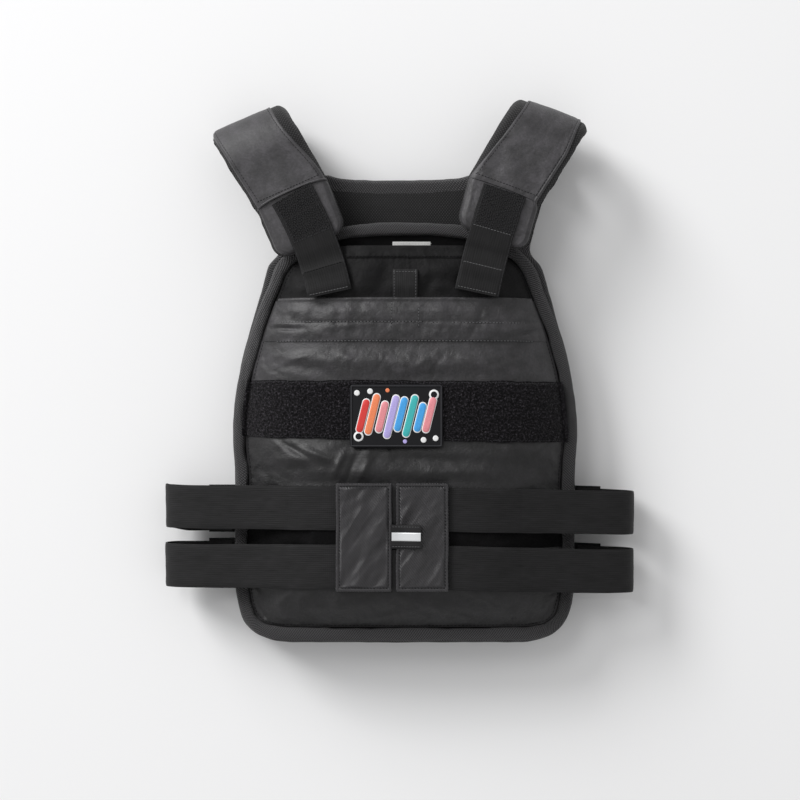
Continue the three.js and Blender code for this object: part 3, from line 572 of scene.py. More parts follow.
def coated_twill(name, tone):
    look = Look(name, 0.42, Specular_IOR_Level=0.5, Coat_Weight=0.3, Coat_Roughness=0.3)
    lines = look.lines(1.9, -38, 0.8)
    cloud = look.speckle(11, 4, 0.6, 0.4)
    look.colour(look.math("ADD", look.math("MULTIPLY", lines, 0.4), look.math("MULTIPLY", cloud, 0.6)),
                [(0.25, grey(tone * 0.7, 0.08)), (0.75, grey(tone * 1.35, 0.1))])
    look.rough(cloud, 0.32, 0.52)
    look.bump(look.speckle(9, 5, 0.6, 0.5, (1.0, 0.7, 1)), 1.8, 0.9)
    look.bump(lines, 0.5, 0.9)
    return look.material


def plain(name, rgb, roughness, grain=0.8, depth=0.05, **fixed):
    """Rubber, print or thread: a colour with fine grain and slight unevenness."""
    look = Look(name, roughness, **fixed)
    fine = look.speckle(grain, 3, 0.6)
    low = tuple(c * 0.82 for c in rgb)
    high = tuple(min(1.0, c * 1.12) for c in rgb)
    look.colour(fine, [(0.3, low), (0.7, high)])
    look.bump(fine, depth, 0.6)
    return look.material


NYLON = nylon("nylon", 0.009, 0.46, 0.42, 1.3)
NYLON_DARK = nylon("nylon_dark", 0.0045, 0.6, 0.14, 1.2)
# near-black nylon whose darkness is painted shade: the gap between the waist bands, and the pad faces seen through the
# pocket mouth
NYLON_PAINTED_SHADE = nylon("nylon_painted_shade", 0.003, 0.8, 0.06)
# a lighter copy of the nylon for the shoulder faces and piping: the extra lightness is painted light standing in for
# their tilt and gloss towards the key light
NYLON_FACE_PAINTED_LIGHT = nylon("nylon_face_painted_light", 0.035, 0.52, 0.44, 0.4)
NYLON_TRIM = nylon("nylon_trim", 0.023, 0.48, 0.46, 1.2)
MESH = air_mesh("mesh", 0.016)
TAPE = edge_tape("edge_tape", 0.019)
WEB = webbing("webbing", 0.009, 2.2, 1.4)
WEB_FINE = webbing("webbing_fine", 0.012, 1.9, 1.2, 0.18)
STRETCH = webbing("elastic", 0.0115, 1.8, 1.9, 0.2)
PILE = loop_pile("loop", 0.0075)
SELVEDGE = webbing("loop_edge", 0.03, 0.9, 0.8, 0.15)
TWILL = coated_twill("twill", 0.018)
THREAD = plain("thread", (0.075, 0.075, 0.078), 0.6, 0.5, 0.03, Sheen_Weight=0.2)
THREAD_DARK = plain("thread_dark", (0.006, 0.006, 0.0065), 0.8, 0.5, 0.03, Specular_IOR_Level=0.1)
THREAD_DULL = plain("thread_dull", (0.03, 0.03, 0.032), 0.7, 0.5, 0.03, Specular_IOR_Level=0.2)
RUBBER = plain("patch_rubber", (0.006, 0.006, 0.0075), 0.6, 1.2, 0.06, Specular_IOR_Level=0.2)
RUBBER_EDGE = plain("patch_edge", (0.035, 0.035, 0.04), 0.55, 1.0, 0.05, Specular_IOR_Level=0.3)
# the label's white, greyed to half by painted shade in the pocket mouth
LABEL_PAINTED_SHADE = plain("label", (0.50, 0.50, 0.49), 0.75, 0.7, 0.06)
SILVER = plain("reflector", (0.66, 0.67, 0.68), 0.35, 0.35, 0.03, Metallic=0.25)
# near-black colour for the cover's underside: painted shade inside the pocket mouth
SHADOW = plain("lining_painted_shade", (0.008, 0.008, 0.009), 0.95, 2.0, 0.1)


# Layers of the two panels, from the floor up
def arch(x):
    return 1 - clamp01(np.abs(x) / HALF_PANEL) ** 3.5


def rear_under(x, y):
    ends = 1 - 0.35 * clamp01(np.abs(2 * (y - REAR_BASE) / REAR_HEIGHT - 1)) ** 5
    return REAR_RIM + (REAR_FILL - REAR_RIM) * arch(x) * ends


def rear_top(x, y):
    return rear_under(x, y) + PAD_THICKNESS


def front_under(x, y):
    hollow = 1 - clamp01(np.abs(x) / (HALF_PANEL - EDGE_BAND)) ** 3.5
    return rear_top(x, y) + GAP + TORSO_HOLLOW * hollow


def front_top(x, y):
    return front_under(x, y) + PAD_THICKNESS


def shoulder_plan(s):
    lean = math.radians(s["seamLean"])
    across = np.array([math.cos(lean), -s["side"] * math.sin(lean), 0.0])

    def heading(degrees):
        a = math.radians(degrees)
        return np.array([-s["side"] * math.sin(a), -math.cos(a), 0.0])

    straight, bent = heading(s["lean"]), heading(s["endLean"])
    start = np.array([s["side"] * s["foldOut"], s["foldUp"], 0.0]) + straight * SHOULDER_THICKNESS / 2

    def at(back):
        back = np.asarray(back, float)[..., None]
        turned = np.maximum(0, back - SHOULDER_BEND)
        return start + straight * (back - turned) + bent * turned

    return across, at


def panel_side(rows, height, base):
    return [(out * HALF_PANEL, base + up * height) for out, up in rows]


def mirrored(points):
    return [(-x, y) for x, y in reversed(points)]


def ear_line(s):
    across, at = shoulder_plan(s)
    middle = at(SHOULDER_REAR)
    return [middle + across * end * s["side"] * SHOULDER_WIDTH / 2 for end in (1, -1)]


def rear_shoulder(s):
    outer, inner = ear_line(s)
    neck = REAR_BASE + REAR_HEIGHT
    outer = mix(outer, inner, 5.0 / SHOULDER_WIDTH)
    on_ear = lambda share: tuple(mix(outer, inner, share)[:2])
    side = s["side"]
    return [
        (outer[0] - side * 0.3 * EAR_ROUND, outer[1] - EAR_ROUND),
        on_ear(EAR_ROUND / SHOULDER_WIDTH), on_ear(0.5), on_ear(1 - EAR_ROUND / SHOULDER_WIDTH),
        (inner[0] - side * 0.3 * EAR_ROUND, neck + 3),
        (inner[0] - side * 1.4 * EAR_ROUND, neck),
    ]


front_side = panel_side(FRONT_OUTLINE, FRONT_HEIGHT, 0)
rear_side = panel_side(REAR_OUTLINE, REAR_HEIGHT, REAR_BASE)
FRONT_RING = closed_curve(front_side + mirrored(front_side), 620)
REAR_RING = closed_curve(
    rear_side + rear_shoulder(SIDES["right"]) + rear_shoulder(SIDES["left"])[::-1] + mirrored(rear_side), 640)


def ring_frame(ring):
    along = unit(np.roll(ring, -1, 0) - np.roll(ring, 1, 0))
    inward = np.stack([-along[:, 1], along[:, 0]], 1)
    run = lengths_along(np.vstack([ring, ring[:1]]))
    return inward, run


# Profile of a rolled edge: inset, share of the way to the carrying side, and lift by the roll
ROLL_PROFILE = np.array([
    (13, 0, 0), (9.5, 0, 0), (6, 0, 0.02), (3.2, 0, 0.12), (1.2, 0.04, 0.42), (0, 0.5, 0.5), (1.0, 0.97, 0.62),
    (3.0, 1, 0.92), (5.8, 1, 1.04), (8.6, 1, 1.0), (10.9, 1, 0.8), (11.8, 1, 0.35), (12.4, 1, -0.05),
])


def fine_profile(rows, per_gap=3):
    t = np.linspace(0, 1, per_gap, endpoint=False)[:, None]
    p = np.vstack([rows[:1] * 2 - rows[1:2], rows, rows[-1:] * 2 - rows[-2:-1]])
    out = []
    for i in range(1, len(p) - 2):
        a, b, c, d = p[i - 1:i + 3]
        out.append(0.5 * (2 * b + (c - a) * t + (2 * a - 5 * b + 4 * c - d) * t**2
                          + (3 * b - a - 3 * c + d) * t**3))
    return np.vstack(out + [rows[-1:]])


def rolled_pad(name, ring, plain_side, carrying, roll, seed, inner_rows, shown_side):
    """A foam panel of mesh whose ribbed edge is rolled over the side that carries the cover."""
    inward, run = ring_frame(ring)
    middle = np.array([0, FRONT_HEIGHT / 2])
    sign = math.copysign(1, roll)
    piece = Piece()

    def height(xy, share):
        return mix(plain_side(xy[:, 0], xy[:, 1]), carrying(xy[:, 0], xy[:, 1]), share)

    profile = fine_profile(ROLL_PROFILE)
    sway = 0.45 * noise(run[:-1], 0 * run[:-1], 22, seed) + 0.3 * noise(run[:-1], 0 * run[:-1], 9, seed + 1)
    drawn = 1.1 * noise(run[:-1], 0 * run[:-1], 17, seed + 4) + 0.5 * noise(run[:-1], 0 * run[:-1], 7, seed + 5)
    rows, vs = [], [0.0]
    for inset, share, lift in profile:
        aside = sway * clamp01(1 - inset / 9) + drawn * smooth((inset - 5) / 5) * (1 - min(share, 0))
        xy = ring + inward * (inset + aside)[:, None]
        z = height(xy, share) + lift * roll
        if lift > 0.3:
            z = z + sign * 0.28 * noise(run[:-1], np.full(len(run) - 1, inset * 3), 7, seed + 2)
        rows.append(np.column_stack([xy, z]))
    rows = np.stack(rows)
    vs = np.concatenate([[0], np.cumsum(np.linalg.norm(np.diff(rows, axis=0), axis=2).mean(1))])
    piece.grid(rows, run[None, :], vs[:, None], 1, around=True, flip=roll < 0)
    for side, start, flip in ((plain_side, rows[0], False), (carrying, rows[-1], True)):
        fill = []
        for share in np.linspace(1, 0.0, inner_rows) ** 0.85:
            xy = mix(middle, start[:, :2], max(share, 0.004))
            z = side(xy[:, 0], xy[:, 1])
            if side is shown_side:
                z = z + 0.5 * noise(xy[:, 0], xy[:, 1], 26, seed + 3) * smooth((1 - share) * 8)
            fill.append(np.column_stack([xy, z]))
        fill = np.stack(fill)
        uv = np.concatenate([fill, fill[:, :1]], 1)
        upper = (side is carrying) == (roll > 0)
        # The side that carries the cover takes slot 2, a near-black nylon: painted shade where it shows through the
        # pocket mouth and at the edge seam.
        piece.grid(fill, uv[..., 0], uv[..., 1], 2 if side is carrying else 0, around=True, flip=not upper)
    return piece


# Front cover
cover_inward, cover_run = ring_frame(FRONT_RING)
COVER_RING = FRONT_RING + cover_inward * (EDGE_BAND + GAP + 0.5)
COVER_BOTTOM = COVER_RING[:, 1].min()
_right = COVER_RING[COVER_RING[:, 0] > 0]
_right = _right[np.argsort(_right[:, 1])]


def cover_half(y):
    return np.interp(y, _right[:, 1], _right[:, 0])


def bulge_across(x, y):
    return 1 - clamp01(np.abs(x) / np.maximum(1, cover_half(y))) ** 5


def bulge_along(y):
    low = clamp01((y - COVER_BOTTOM) / (0.13 * FRONT_HEIGHT))
    high = clamp01((MOUTH_LINE - y) / (0.28 * FRONT_HEIGHT))
    return (1 - (1 - low) ** 2.4) * mix((MOUTH_GAP + GAP) / FRONT_FILL, 1, 1 - (1 - high) ** 1.8)


def fold_lift(x, y, folds):
    lift = np.zeros(np.broadcast(x, y).shape)
    for fx, fy, tilt, reach, spread, height in folds:
        a = math.radians(tilt)
        along = ((x - fx) * math.cos(a) + (y - fy) * math.sin(a)) / reach
        aside = ((y - fy) * math.cos(a) - (x - fx) * math.sin(a)) / spread
        lift = lift + height * np.exp(-along**2 - aside**2)
    return lift


def smooth_face(x, y):
    return front_top(x, y) + GAP + CLOTH + FRONT_FILL * bulge_across(x, y) * bulge_along(y)


def cover_under(x, y):
    across = 1 - clamp01(np.abs(x) / (MOUTH_WIDTH / 2)) ** 2
    return front_top(x, y) + GAP + MOUTH_GAP * across * clamp01((y - (MOUTH_LINE - MOUTH_DEPTH)) / MOUTH_DEPTH)


COVER_LOW = COVER_BOTTOM + 0.5


def cover_rows(count):
    """Heights up the cover, closer together at its rounded bottom corners."""
    t = np.linspace(0, 1, count)
    return COVER_LOW + (MOUTH_LINE - COVER_LOW) * (0.55 * t + 0.45 * t**1.8)


def band_shield(y):
    """1 where a band, flap or seam is sewn to the cover, falling to 0 away from it."""
    shield = np.zeros_like(y)
    for low, high in ((LOOP_TOP - LOOP_WIDTH, LOOP_TOP), (FLAP_TOP - 3, FLAP_TOP), (FLAP_TOP - 46, FLAP_TOP - 40)):
        away = np.maximum(0, np.maximum(low - y, y - high))
        shield = np.maximum(shield, 1 - smooth(away / 11))
    return shield


def waist_zone(y):
    return smooth((160 - y) / 12) * smooth((y - 38) / 12)


def cover_grid(rows, cols):
    y = np.broadcast_to(cover_rows(rows)[:, None], (rows, cols))
    u = np.broadcast_to(np.linspace(-1, 1, cols)[None], (rows, cols))
    return u * cover_half(y), y, u


sim_x, sim_y, sim_u = cover_grid(118, 100)
sim_z = smooth_face(sim_x, sim_y) + fold_lift(sim_x, sim_y, FOLDS) * bulge_across(sim_x, sim_y)
sim_held = np.abs(sim_u) > 0.985
sim_held[:1] = True
sim_held[-2:] = True
for line in (LOOP_TOP - 1, LOOP_TOP - LOOP_WIDTH + 1, FLAP_TOP - 2, FLAP_TOP - 43):
    sim_held |= np.abs(sim_y - line) < 1.6
COVER_MOVED = settle("cover_cloth", np.stack([sim_x, sim_y, sim_z], -1), sim_held, 0.016, 2.5, 24, 3.6)


def cover_surface(x, y, u):
    """Final height of the cover: load, folds, simulated creases and the puckers by its seams."""
    across = bulge_across(x, y)
    t = clamp01((y - COVER_LOW) / (MOUTH_LINE - COVER_LOW))
    rows = np.interp(y, cover_rows(400), np.linspace(0, 1, 400))
    moved = stretch(COVER_MOVED, rows, (u + 1) / 2)[..., 2]
    free = 1 - band_shield(y)
    edge = (1 - np.abs(u)) * cover_half(y)
    near = np.minimum(np.minimum(edge, y - COVER_LOW), 60)
    pucker = (0.65 * noise(x + y, x - y, 6.5, 31) + 0.5 * noise(x, y, 13, 32)) * np.exp(-((near - 6) / 7) ** 2)
    creases = 0.8 * (1 - np.abs(noise(x + 0.4 * y, y * 1.4, 27, 33)) * 2) * 0.6 + 0.45 * noise(x, y, 15, 34)
    creases = creases + 0.22 * noise(x, y, 6.5, 35)
    lift = 1.25 * fold_lift(x, y, FOLDS) + 1.5 * fold_lift(x, y, FINE_FOLDS)
    soft = (moved * COVER_SHARE + pucker + creases * (0.35 + 0.65 * smooth(near / 16))) * clamp01(near / 3)
    soft = soft * mix(0.25, 1, free)
    zone = waist_zone(y)
    soft = soft * (1 - zone) + zone * np.minimum(soft, 0.25)
    return smooth_face(x, y) + lift * across * mix(0.35, 1, free) * (1 - 0.6 * zone) + soft


def face_height(x, y):
    x, y = np.broadcast_arrays(np.asarray(x, float), np.asarray(y, float))
    return cover_surface(x, y, np.clip(x / np.maximum(1, cover_half(y)), -1, 1))


def face_patch(x, y, lift):
    return np.stack([x, y, face_height(x, y) + lift], -1)


def plan_grid(x0, x1, y0, y1, step):
    cols = max(3, int(round((x1 - x0) / step)) + 1)
    rows = max(3, int(round((y1 - y0) / step)) + 1)
    y, x = np.meshgrid(np.linspace(y0, y1, rows), np.linspace(x0, x1, cols), indexing="ij")
    return x, y


UP = np.array([0.0, 0.0, 1.0])


def face_line(x0, y0, x1, y1, lift, step=1.5):
    """A line of points on the front face."""
    count = max(3, int(math.hypot(x1 - x0, y1 - y0) / step))
    x, y = np.linspace(x0, x1, count), np.linspace(y0, y1, count)
    return face_patch(x, y, lift)


def build_panels():
    piece = rolled_pad("rear_pad", REAR_RING, rear_top, rear_under, -EDGE_ROLL, 3, 30, rear_top)
    piece.make("rear_pad_mesh", [MESH, TAPE, NYLON_PAINTED_SHADE], "rear_pad", "mesh", 0.6)

    inward, run = ring_frame(REAR_RING)
    seam = EDGE_BAND + GAP + 0.7
    middle = np.array([0, FRONT_HEIGHT / 2])
    rows = []
    levels = [(seam, 1.0, -2 * GAP), (seam, 0.86, -2 * GAP), (seam + 1, 0.62, 0), (seam + 3, 0.36, 0),
              (seam + 6, 0.16, 0), (seam + 10, 0.05, 0)]
    for inset, share, fall in levels:
        xy = REAR_RING + inward * inset
        wavy = noise(run[:-1], np.full(len(run) - 1, share * 20), 11, 41) * 0.5 * (share < 0.95)
        z = np.maximum(0, rear_under(xy[:, 0], xy[:, 1]) * share + fall + wavy)
        rows.append(np.column_stack([xy, z]))
    start = REAR_RING + inward * (seam + 15)
    for share in np.linspace(1, 0.004, 26):
        xy = mix(middle, start, share)
        crease = 0.9 * np.maximum(0, noise(xy[:, 0], xy[:, 1], 24, 42) + noise(xy[:, 0], xy[:, 1], 9, 43) * 0.4)
        rows.append(np.column_stack([xy, crease * smooth((1.02 - share) * 3)]))
    rows = np.stack(rows)
    uv = np.concatenate([rows, rows[:, :1]], 1)
    under = Piece().grid(rows, uv[..., 0], uv[..., 1], 0, around=True, flip=True)
    line = np.column_stack([REAR_RING + inward * (seam + 2.2), 0 * run[:-1]])
    line[:, 2] = rear_under(line[:, 0], line[:, 1]) * 0.5
    under.stitches(line, np.column_stack([-inward, np.full(len(inward), -0.6)]), 1, 3.4)
    under.make("rear_cover_nylon", [NYLON, THREAD], "rear_cover", "nylon", 0.7)

    piece = rolled_pad("front_pad", FRONT_RING, front_under, front_top, EDGE_ROLL, 8, 14, None)
    piece.make("front_pad_mesh", [MESH, TAPE, NYLON_PAINTED_SHADE], "front_pad", "mesh", 0.6)


def build_cover():
    rows, cols = 262, 212
    x, y, u = cover_grid(rows, cols)
    top = np.stack([x, y, cover_surface(x, y, u)], -1)
    piece = Piece()
    upper = int(np.argmax(y[:, 0] > FLAP_TOP - 3))
    mid = int(np.argmax(y[:, 0] > LOOP_TOP - LOOP_WIDTH / 2))
    # Rows of the cover between the two waist bands take slot 4, a near-black nylon that is painted shade of the gap
    # under and between the bands.
    gap_low, gap_high = (int(np.argmax(y[:, 0] > BAND_CENTRE + at)) for at in (-12, 12))
    for start, stop, slot in ((0, gap_low, 0), (gap_low, gap_high, 4), (gap_high, mid, 0), (mid, upper, 5),
                              (upper, rows - 1, 3)):
        part = np.s_[start:stop + 1]
        piece.grid(top[part], x[part], y[part], slot)
    # The cover's underside takes slot 2, the near-black lining colour, which is painted shade where it shows in the
    # pocket mouth.
    bx, by, _ = cover_grid(60, 50)
    under = np.stack([bx, by, cover_under(bx, by)], -1)
    piece.grid(under, bx, by, 2, flip=True)
    for pick, flip in GRID_SIDES:
        rim = top[pick]
        low = np.stack([rim[:, 0], rim[:, 1], cover_under(rim[:, 0], rim[:, 1])], -1)
        wall = np.stack([rim, mix(rim, low, 0.5), low])
        piece.grid(wall, np.arange(len(rim))[None] * 1.2, np.array([[0], [6], [12]]), 0, flip=flip)
    line = COVER_RING + cover_inward * 2.4
    line = np.roll(line, -int(np.argmax(COVER_RING[:, 1])), 0)
    line = line[line[:, 1] < MOUTH_LINE - 2]
    seam = np.stack([line[:, 0], line[:, 1], face_height(line[:, 0], line[:, 1]) + 0.1], -1)
    cut = np.flatnonzero(np.linalg.norm(np.diff(seam, axis=0), axis=1) > 8)
    for part in np.split(seam, cut + 1):
        if len(part) > 4:
            piece.stitches(part, UP, 1, 3.5, 2.4, 0.3)
    materials = [NYLON, THREAD_DARK, SHADOW, NYLON_DARK, NYLON_PAINTED_SHADE, NYLON_TRIM]
    piece.make("front_cover_nylon", materials, "front_cover", "nylon", 0.55)


def build_face_details():
    low = MOUTH_LINE - HEM_WIDTH
    x, y = plan_grid(-HEM_LENGTH / 2, HEM_LENGTH / 2, low, MOUTH_LINE + 0.4, 1.1)
    t = (y - low) / (MOUTH_LINE + 0.4 - low)
    crown = 1.3 * (1 - (2 * t - 1) ** 6) + 0.25 * noise(x, y, 9, 51)
    hem = Piece().slab(face_patch(x, y, ON_FACE + crown), face_patch(x, y, ON_FACE * 0.2), x, y)
    line = face_line(-HEM_LENGTH / 2 + 2, low + 1.6, HEM_LENGTH / 2 - 2, low + 1.6, ON_FACE + 0.9)
    hem.stitches(line, UP, 1, 3.2, 2.6, 0.42)
    hem.make("pocket_hem_nylon", [NYLON_DARK, THREAD_DARK], "pocket_hem", "nylon")

    def full_band(y0, y1, step, reach=0.985):
        rows = int((y1 - y0) / step) + 1
        cols = int(2 * cover_half(y0) / step)
        yy = np.broadcast_to(np.linspace(y0, y1, rows)[:, None], (rows, cols))
        u = np.broadcast_to(np.linspace(-reach, reach, cols)[None], (rows, cols))
        return u * cover_half(yy), yy, u

    x, y, u = full_band(FLAP_TOP - FLAP_WIDTH, FLAP_TOP, 1.25)
    t = (FLAP_TOP - y)
    lip = 1.5 * (1 - smooth(t / 5)) * smooth(t / 0.9)
    rows_at = ((22.5, 0.55), (40 - 1.6, 0.3))
    puff = 1.1 + 0.35 * noise(x, y, 12, 52) + 0.3 * noise(x, y, 5, 53) + lip
    for back, dip in rows_at:
        near = np.exp(-((t - back) / 4.5) ** 2)
        puff = puff - dip * np.exp(-((t - back) / 1.4) ** 2) + 0.24 * near * noise(x + 0.3 * y, y * 0.4, 4.2, 59)
    puff = puff + fold_lift(x, y, FLAP_FOLDS)
    edge = clamp01(np.minimum(t + 0.3, FLAP_WIDTH - t + 0.1) / 1.0)
    top = face_patch(x, y, ON_FACE + puff * mix(0.35, 1, edge))
    flap = Piece().slab(top, face_patch(x, y, 0.1), x, y)
    lift = ON_FACE + 0.95
    half = cover_half(FLAP_TOP - 22) * 0.93
    flap.stitches(face_line(-half, FLAP_TOP - 22.5, 16.5, FLAP_TOP - 22.5, lift), UP, 1, 3.2, pits=2)
    flap.stitches(face_line(23, FLAP_TOP - 23.5, half, FLAP_TOP - 23.5, lift), UP, 1, 3.2, pits=2)
    for at in (-12.5, 12.5):
        flap.stitches(face_line(at, FLAP_TOP - 1, at, FLAP_TOP - 28, lift), UP, 1, 3.0, pits=2)
    flap.stitches(face_line(-half, FLAP_TOP - 40.2, half, FLAP_TOP - 40.2, lift - 0.2), UP, 1, 3.2, pits=2)
    flap.make("pocket_flap_nylon", [NYLON_TRIM, THREAD, THREAD_DARK], "pocket_flap", "nylon")

    x, y, u = full_band(LOOP_TOP - LOOP_WIDTH, LOOP_TOP, 0.78, 1.022)
    wave = 0.7 * noise(x, 0 * y, 19, 54) + 0.4 * noise(x, 0 * y, 5, 55)
    inside = np.minimum(LOOP_TOP - y, y - (LOOP_TOP - LOOP_WIDTH)) + wave * 0.5
    right = (u + 1) / 2
    share = (y - (LOOP_TOP - LOOP_WIDTH)) / LOOP_WIDTH
    y = y + wave * (2 * share - 1) + mix(mix(1.0, -4.5, right), mix(2.2, 0.8, right), share)
    pile = smooth((inside - 1.2) / 1.2)
    grain = np.random.default_rng(9).uniform(-1, 1, x.shape)
    tuft = 0.45 * noise(x, y, 1.6, 56) + 0.35 * noise(x, y, 2.9, 57) + 0.25 * grain
    over = 4.2 * smooth((np.abs(u) - 0.985) / 0.03)
    top = face_patch(x, y, ON_FACE + 0.7 + pile * (1.1 + tuft) + over)
    band = Piece()
    band.grid(top, x, y, 0)
    band.grid(face_patch(x[::4, ::4], y[::4, ::4], 0.1), x[::4, ::4], y[::4, ::4], 0, flip=True)
    for pick, flip in GRID_SIDES:
        rim = top[pick]
        band.grid(np.stack([rim, rim - UP * 1.2]), np.arange(len(rim))[None] * 0.66,
                  np.array([[0], [1.2]]), 1, flip=flip)
    for row in (2, -3):
        band.stitches(top[row, 8:-8:3], UP, 2, 2.9, 2.2, 0.28)
    band.make("loop_band_pile", [PILE, SELVEDGE, THREAD_DULL], "loop_band", "loop")

    x, y = plan_grid(-TAB_WIDTH / 2, TAB_WIDTH / 2, FLAP_TOP - 1.5, FLAP_TOP + GAP + TAB_LENGTH, 0.8)
    t = (y - FLAP_TOP) / TAB_LENGTH
    rise = 1.2 + 2.2 * np.sin(clamp01(t) * math.pi) ** 0.8 * 0.8
    top = face_patch(x, y, ON_FACE + rise)
    tab = Piece().slab(top, face_patch(x, y, ON_FACE * 0.4), y, x)
    for at in (-TAB_WIDTH / 2 + 1.5, TAB_WIDTH / 2 - 1.5):
        row = top[:, int(round((at + TAB_WIDTH / 2) / TAB_WIDTH * (top.shape[1] - 1)))]
        tab.stitches(row, UP, 1, 2.8, 2.0, 0.26)
    tab.stitches(top[-4], UP, 1, 2.8, 2.0, 0.26)
    tab.make("tab_loop_webbing", [WEB_FINE, THREAD], "tab_loop", "webbing")

    half = LABEL_WIDTH / 2
    x, y = plan_grid(LABEL_SHIFT - half, LABEL_SHIFT + half, MOUTH_LINE - 14, MOUTH_LINE + 4, 0.8)
    z = cover_under(x, y) - GAP + 0.25 * noise(x, y, 8, 58)
    top = np.stack([x, y, z], -1)
    label = Piece().slab(top, top - UP * 0.5, x, y)
    label.stitches(top[-3], UP, 1, 2.8, 2.0, 0.25)
    label.make("mouth_label_cloth", [LABEL_PAINTED_SHADE, LABEL_PAINTED_SHADE], "mouth_label", "label")


ART = {
    "art_red": (0.62, 0.035, 0.03), "art_orange": (0.80, 0.22, 0.09), "art_pink": (0.72, 0.25, 0.28),
    "art_lilac": (0.42, 0.36, 0.70), "art_blue": (0.05, 0.33, 0.72), "art_teal": (0.04, 0.42, 0.42),
    "art_white": (0.78, 0.78, 0.78),
}


def build_patch():
    """Rubber patch with a plain pattern of coloured bars, discs and rings."""
    inks = {name: plain(name, rgb, 0.45, 1.0, 0.05) for name, rgb in ART.items()}
    cx, cy = PATCH_SHIFT, PATCH_LOW + PATCH_HEIGHT / 2
    half_x, half_y, corner = PATCH_WIDTH / 2, PATCH_HEIGHT / 2, 4.0
    base_lift = ON_FACE + 2 + GAP + 0.3
    level = lambda x, y: (smooth_face(x, y) + fold_lift(x, y, FOLDS) * 0.2)
    b, a = np.meshgrid(np.linspace(-1, 1, 120), np.linspace(-1, 1, 176), indexing="ij")
    a = np.sign(a) * (1 - (1 - np.abs(a)) ** 1.15)
    b = np.sign(b) * (1 - (1 - np.abs(b)) ** 1.15)
    x = a * half_x
    past = np.maximum(0, np.abs(x) - (half_x - corner))
    limit = half_y - corner + np.sqrt(np.maximum(0, corner**2 - past**2))
    y = b * limit
    inside = np.minimum(half_x - np.abs(x), limit - np.abs(y))
    profile = 1.75 * smooth(inside / 0.5 + 0.15) - 0.55 * smooth((inside - 1.7) / 0.5)
    x, y = x + cx, y + cy
    top = np.stack([x, y, level(x, y) + base_lift + profile], -1)
    under = np.stack([x, y, level(x, y) + base_lift - 0.1], -1)
    patch = Piece()
    patch.grid(top, x, y, 0)
    patch.grid(under[::8, ::8], x[::8, ::8], y[::8, ::8], 0, flip=True)
    for pick, flip in GRID_SIDES:
        patch.grid(np.stack([top[pick], under[pick]]), np.arange(len(top[pick]))[None] * 0.5,
                   np.array([[0], [1.2]]), 1, flip=flip)
    frame_path = []
    for t in np.linspace(0, 2 * math.pi, 361):
        c, s = math.cos(t), math.sin(t)
        px = math.copysign(min(abs(c) * 1.45, 1), c) * (half_x - 1.6)
        py = math.copysign(min(abs(s) * 1.45, 1), s) * (half_y - 1.6)
        frame_path.append((px + cx, py + cy, 0))
    path = np.array(frame_path)
    path[:, 2] = level(path[:, 0], path[:, 1]) + base_lift + 1.72
    turns = np.arange(8) * math.pi / 4
    tangent = unit(np.roll(path, -1, 0) - np.roll(path, 1, 0))
    aside = unit(np.cross(UP, tangent))
    tube = path[:, None] + 0.42 * (aside[:, None] * np.cos(turns)[None, :, None] + UP * np.sin(turns)[None, :, None])
    patch.grid(tube, np.arange(9)[None] * 0.3, np.arange(len(path))[:, None] * 0.8, 1, around=True)

    def chip(centre, outline, ink, lift=0.42):
        """A raised flat shape on the patch."""
        outline = np.asarray(outline, float)
        rings = []
        for share, up in ((1.0, -0.25), (1.0, lift * 0.7), (0.985, lift), (0.6, lift), (0.01, lift)):
            xy = np.asarray(centre) + outline * share + (cx, cy)
            rings.append(np.column_stack([xy, level(xy[:, 0], xy[:, 1]) + base_lift + 1.2 + up]))
        rings = np.stack(rings)
        uv = np.concatenate([rings, rings[:, :1]], 1)
        patch.grid(rings, uv[..., 0], uv[..., 1], 2 + list(ART).index(ink), around=True)

    def bar(centre, length, width, tilt, ink, lift=0.42):
        t = np.linspace(-math.pi / 2, math.pi / 2, 12)
        cap = np.column_stack([np.cos(t), np.sin(t)]) * width / 2
        loop = np.vstack([cap + (length / 2 - width / 2, 0), -cap - (length / 2 - width / 2, 0)])
        c, s = math.cos(math.radians(tilt)), math.sin(math.radians(tilt))
        chip(centre, loop @ np.array([[c, s], [-s, c]]), ink, lift)

    def circle(radius):
        t = np.linspace(0, 2 * math.pi, 40, endpoint=False)
        return np.column_stack([np.cos(t), np.sin(t)]) * radius

    def disc(centre, radius, ink, lift=0.42):
        chip(centre, circle(radius), ink, lift)

    def ring(centre, radius, width, ink):
        disc(centre, radius, ink, 0.36)
        rings = []
        for r, up in ((radius - width, 0.39), (0.05, 0.39)):
            xy = np.asarray(centre) + circle(r) + (cx, cy)
            rings.append(np.column_stack([xy, level(xy[:, 0], xy[:, 1]) + base_lift + 1.2 + up]))
        rings = np.stack(rings)
        uv = np.concatenate([rings, rings[:, :1]], 1)
        patch.grid(rings, uv[..., 0], uv[..., 1], 0, around=True)

    bars = [("art_red", 26), ("art_orange", 33), ("art_pink", 24), ("art_lilac", 35), ("art_blue", 27),
            ("art_teal", 34), ("art_blue", 22), ("art_pink", 28)]
    for i, (ink, length) in enumerate(bars):
        along = -30.5 + 8.7 * i
        bar((along, 1.5 * math.sin(i * 1.9)), length + 7, 7.6, 76, "art_white", 0.34)
        bar((along, 1.5 * math.sin(i * 1.9)), length + 5, 6.4, 76, ink, 0.5)
    for centre in ((-36, 21), (-24, 22.5), (25, -22), (36, -20.5)):
        disc(centre, 2.6, "art_white")
    ring((34.5, 19.5), 4.6, 1.7, "art_white")
    ring((-34.5, -18.8), 4.6, 1.7, "art_white")
    disc((-8, 23.4), 1.9, "art_orange")
    disc((8, -23.4), 1.9, "art_lilac")
    patch.make("patch_rubber_print", [RUBBER, RUBBER_EDGE, *inks.values()], "patch", "patch")


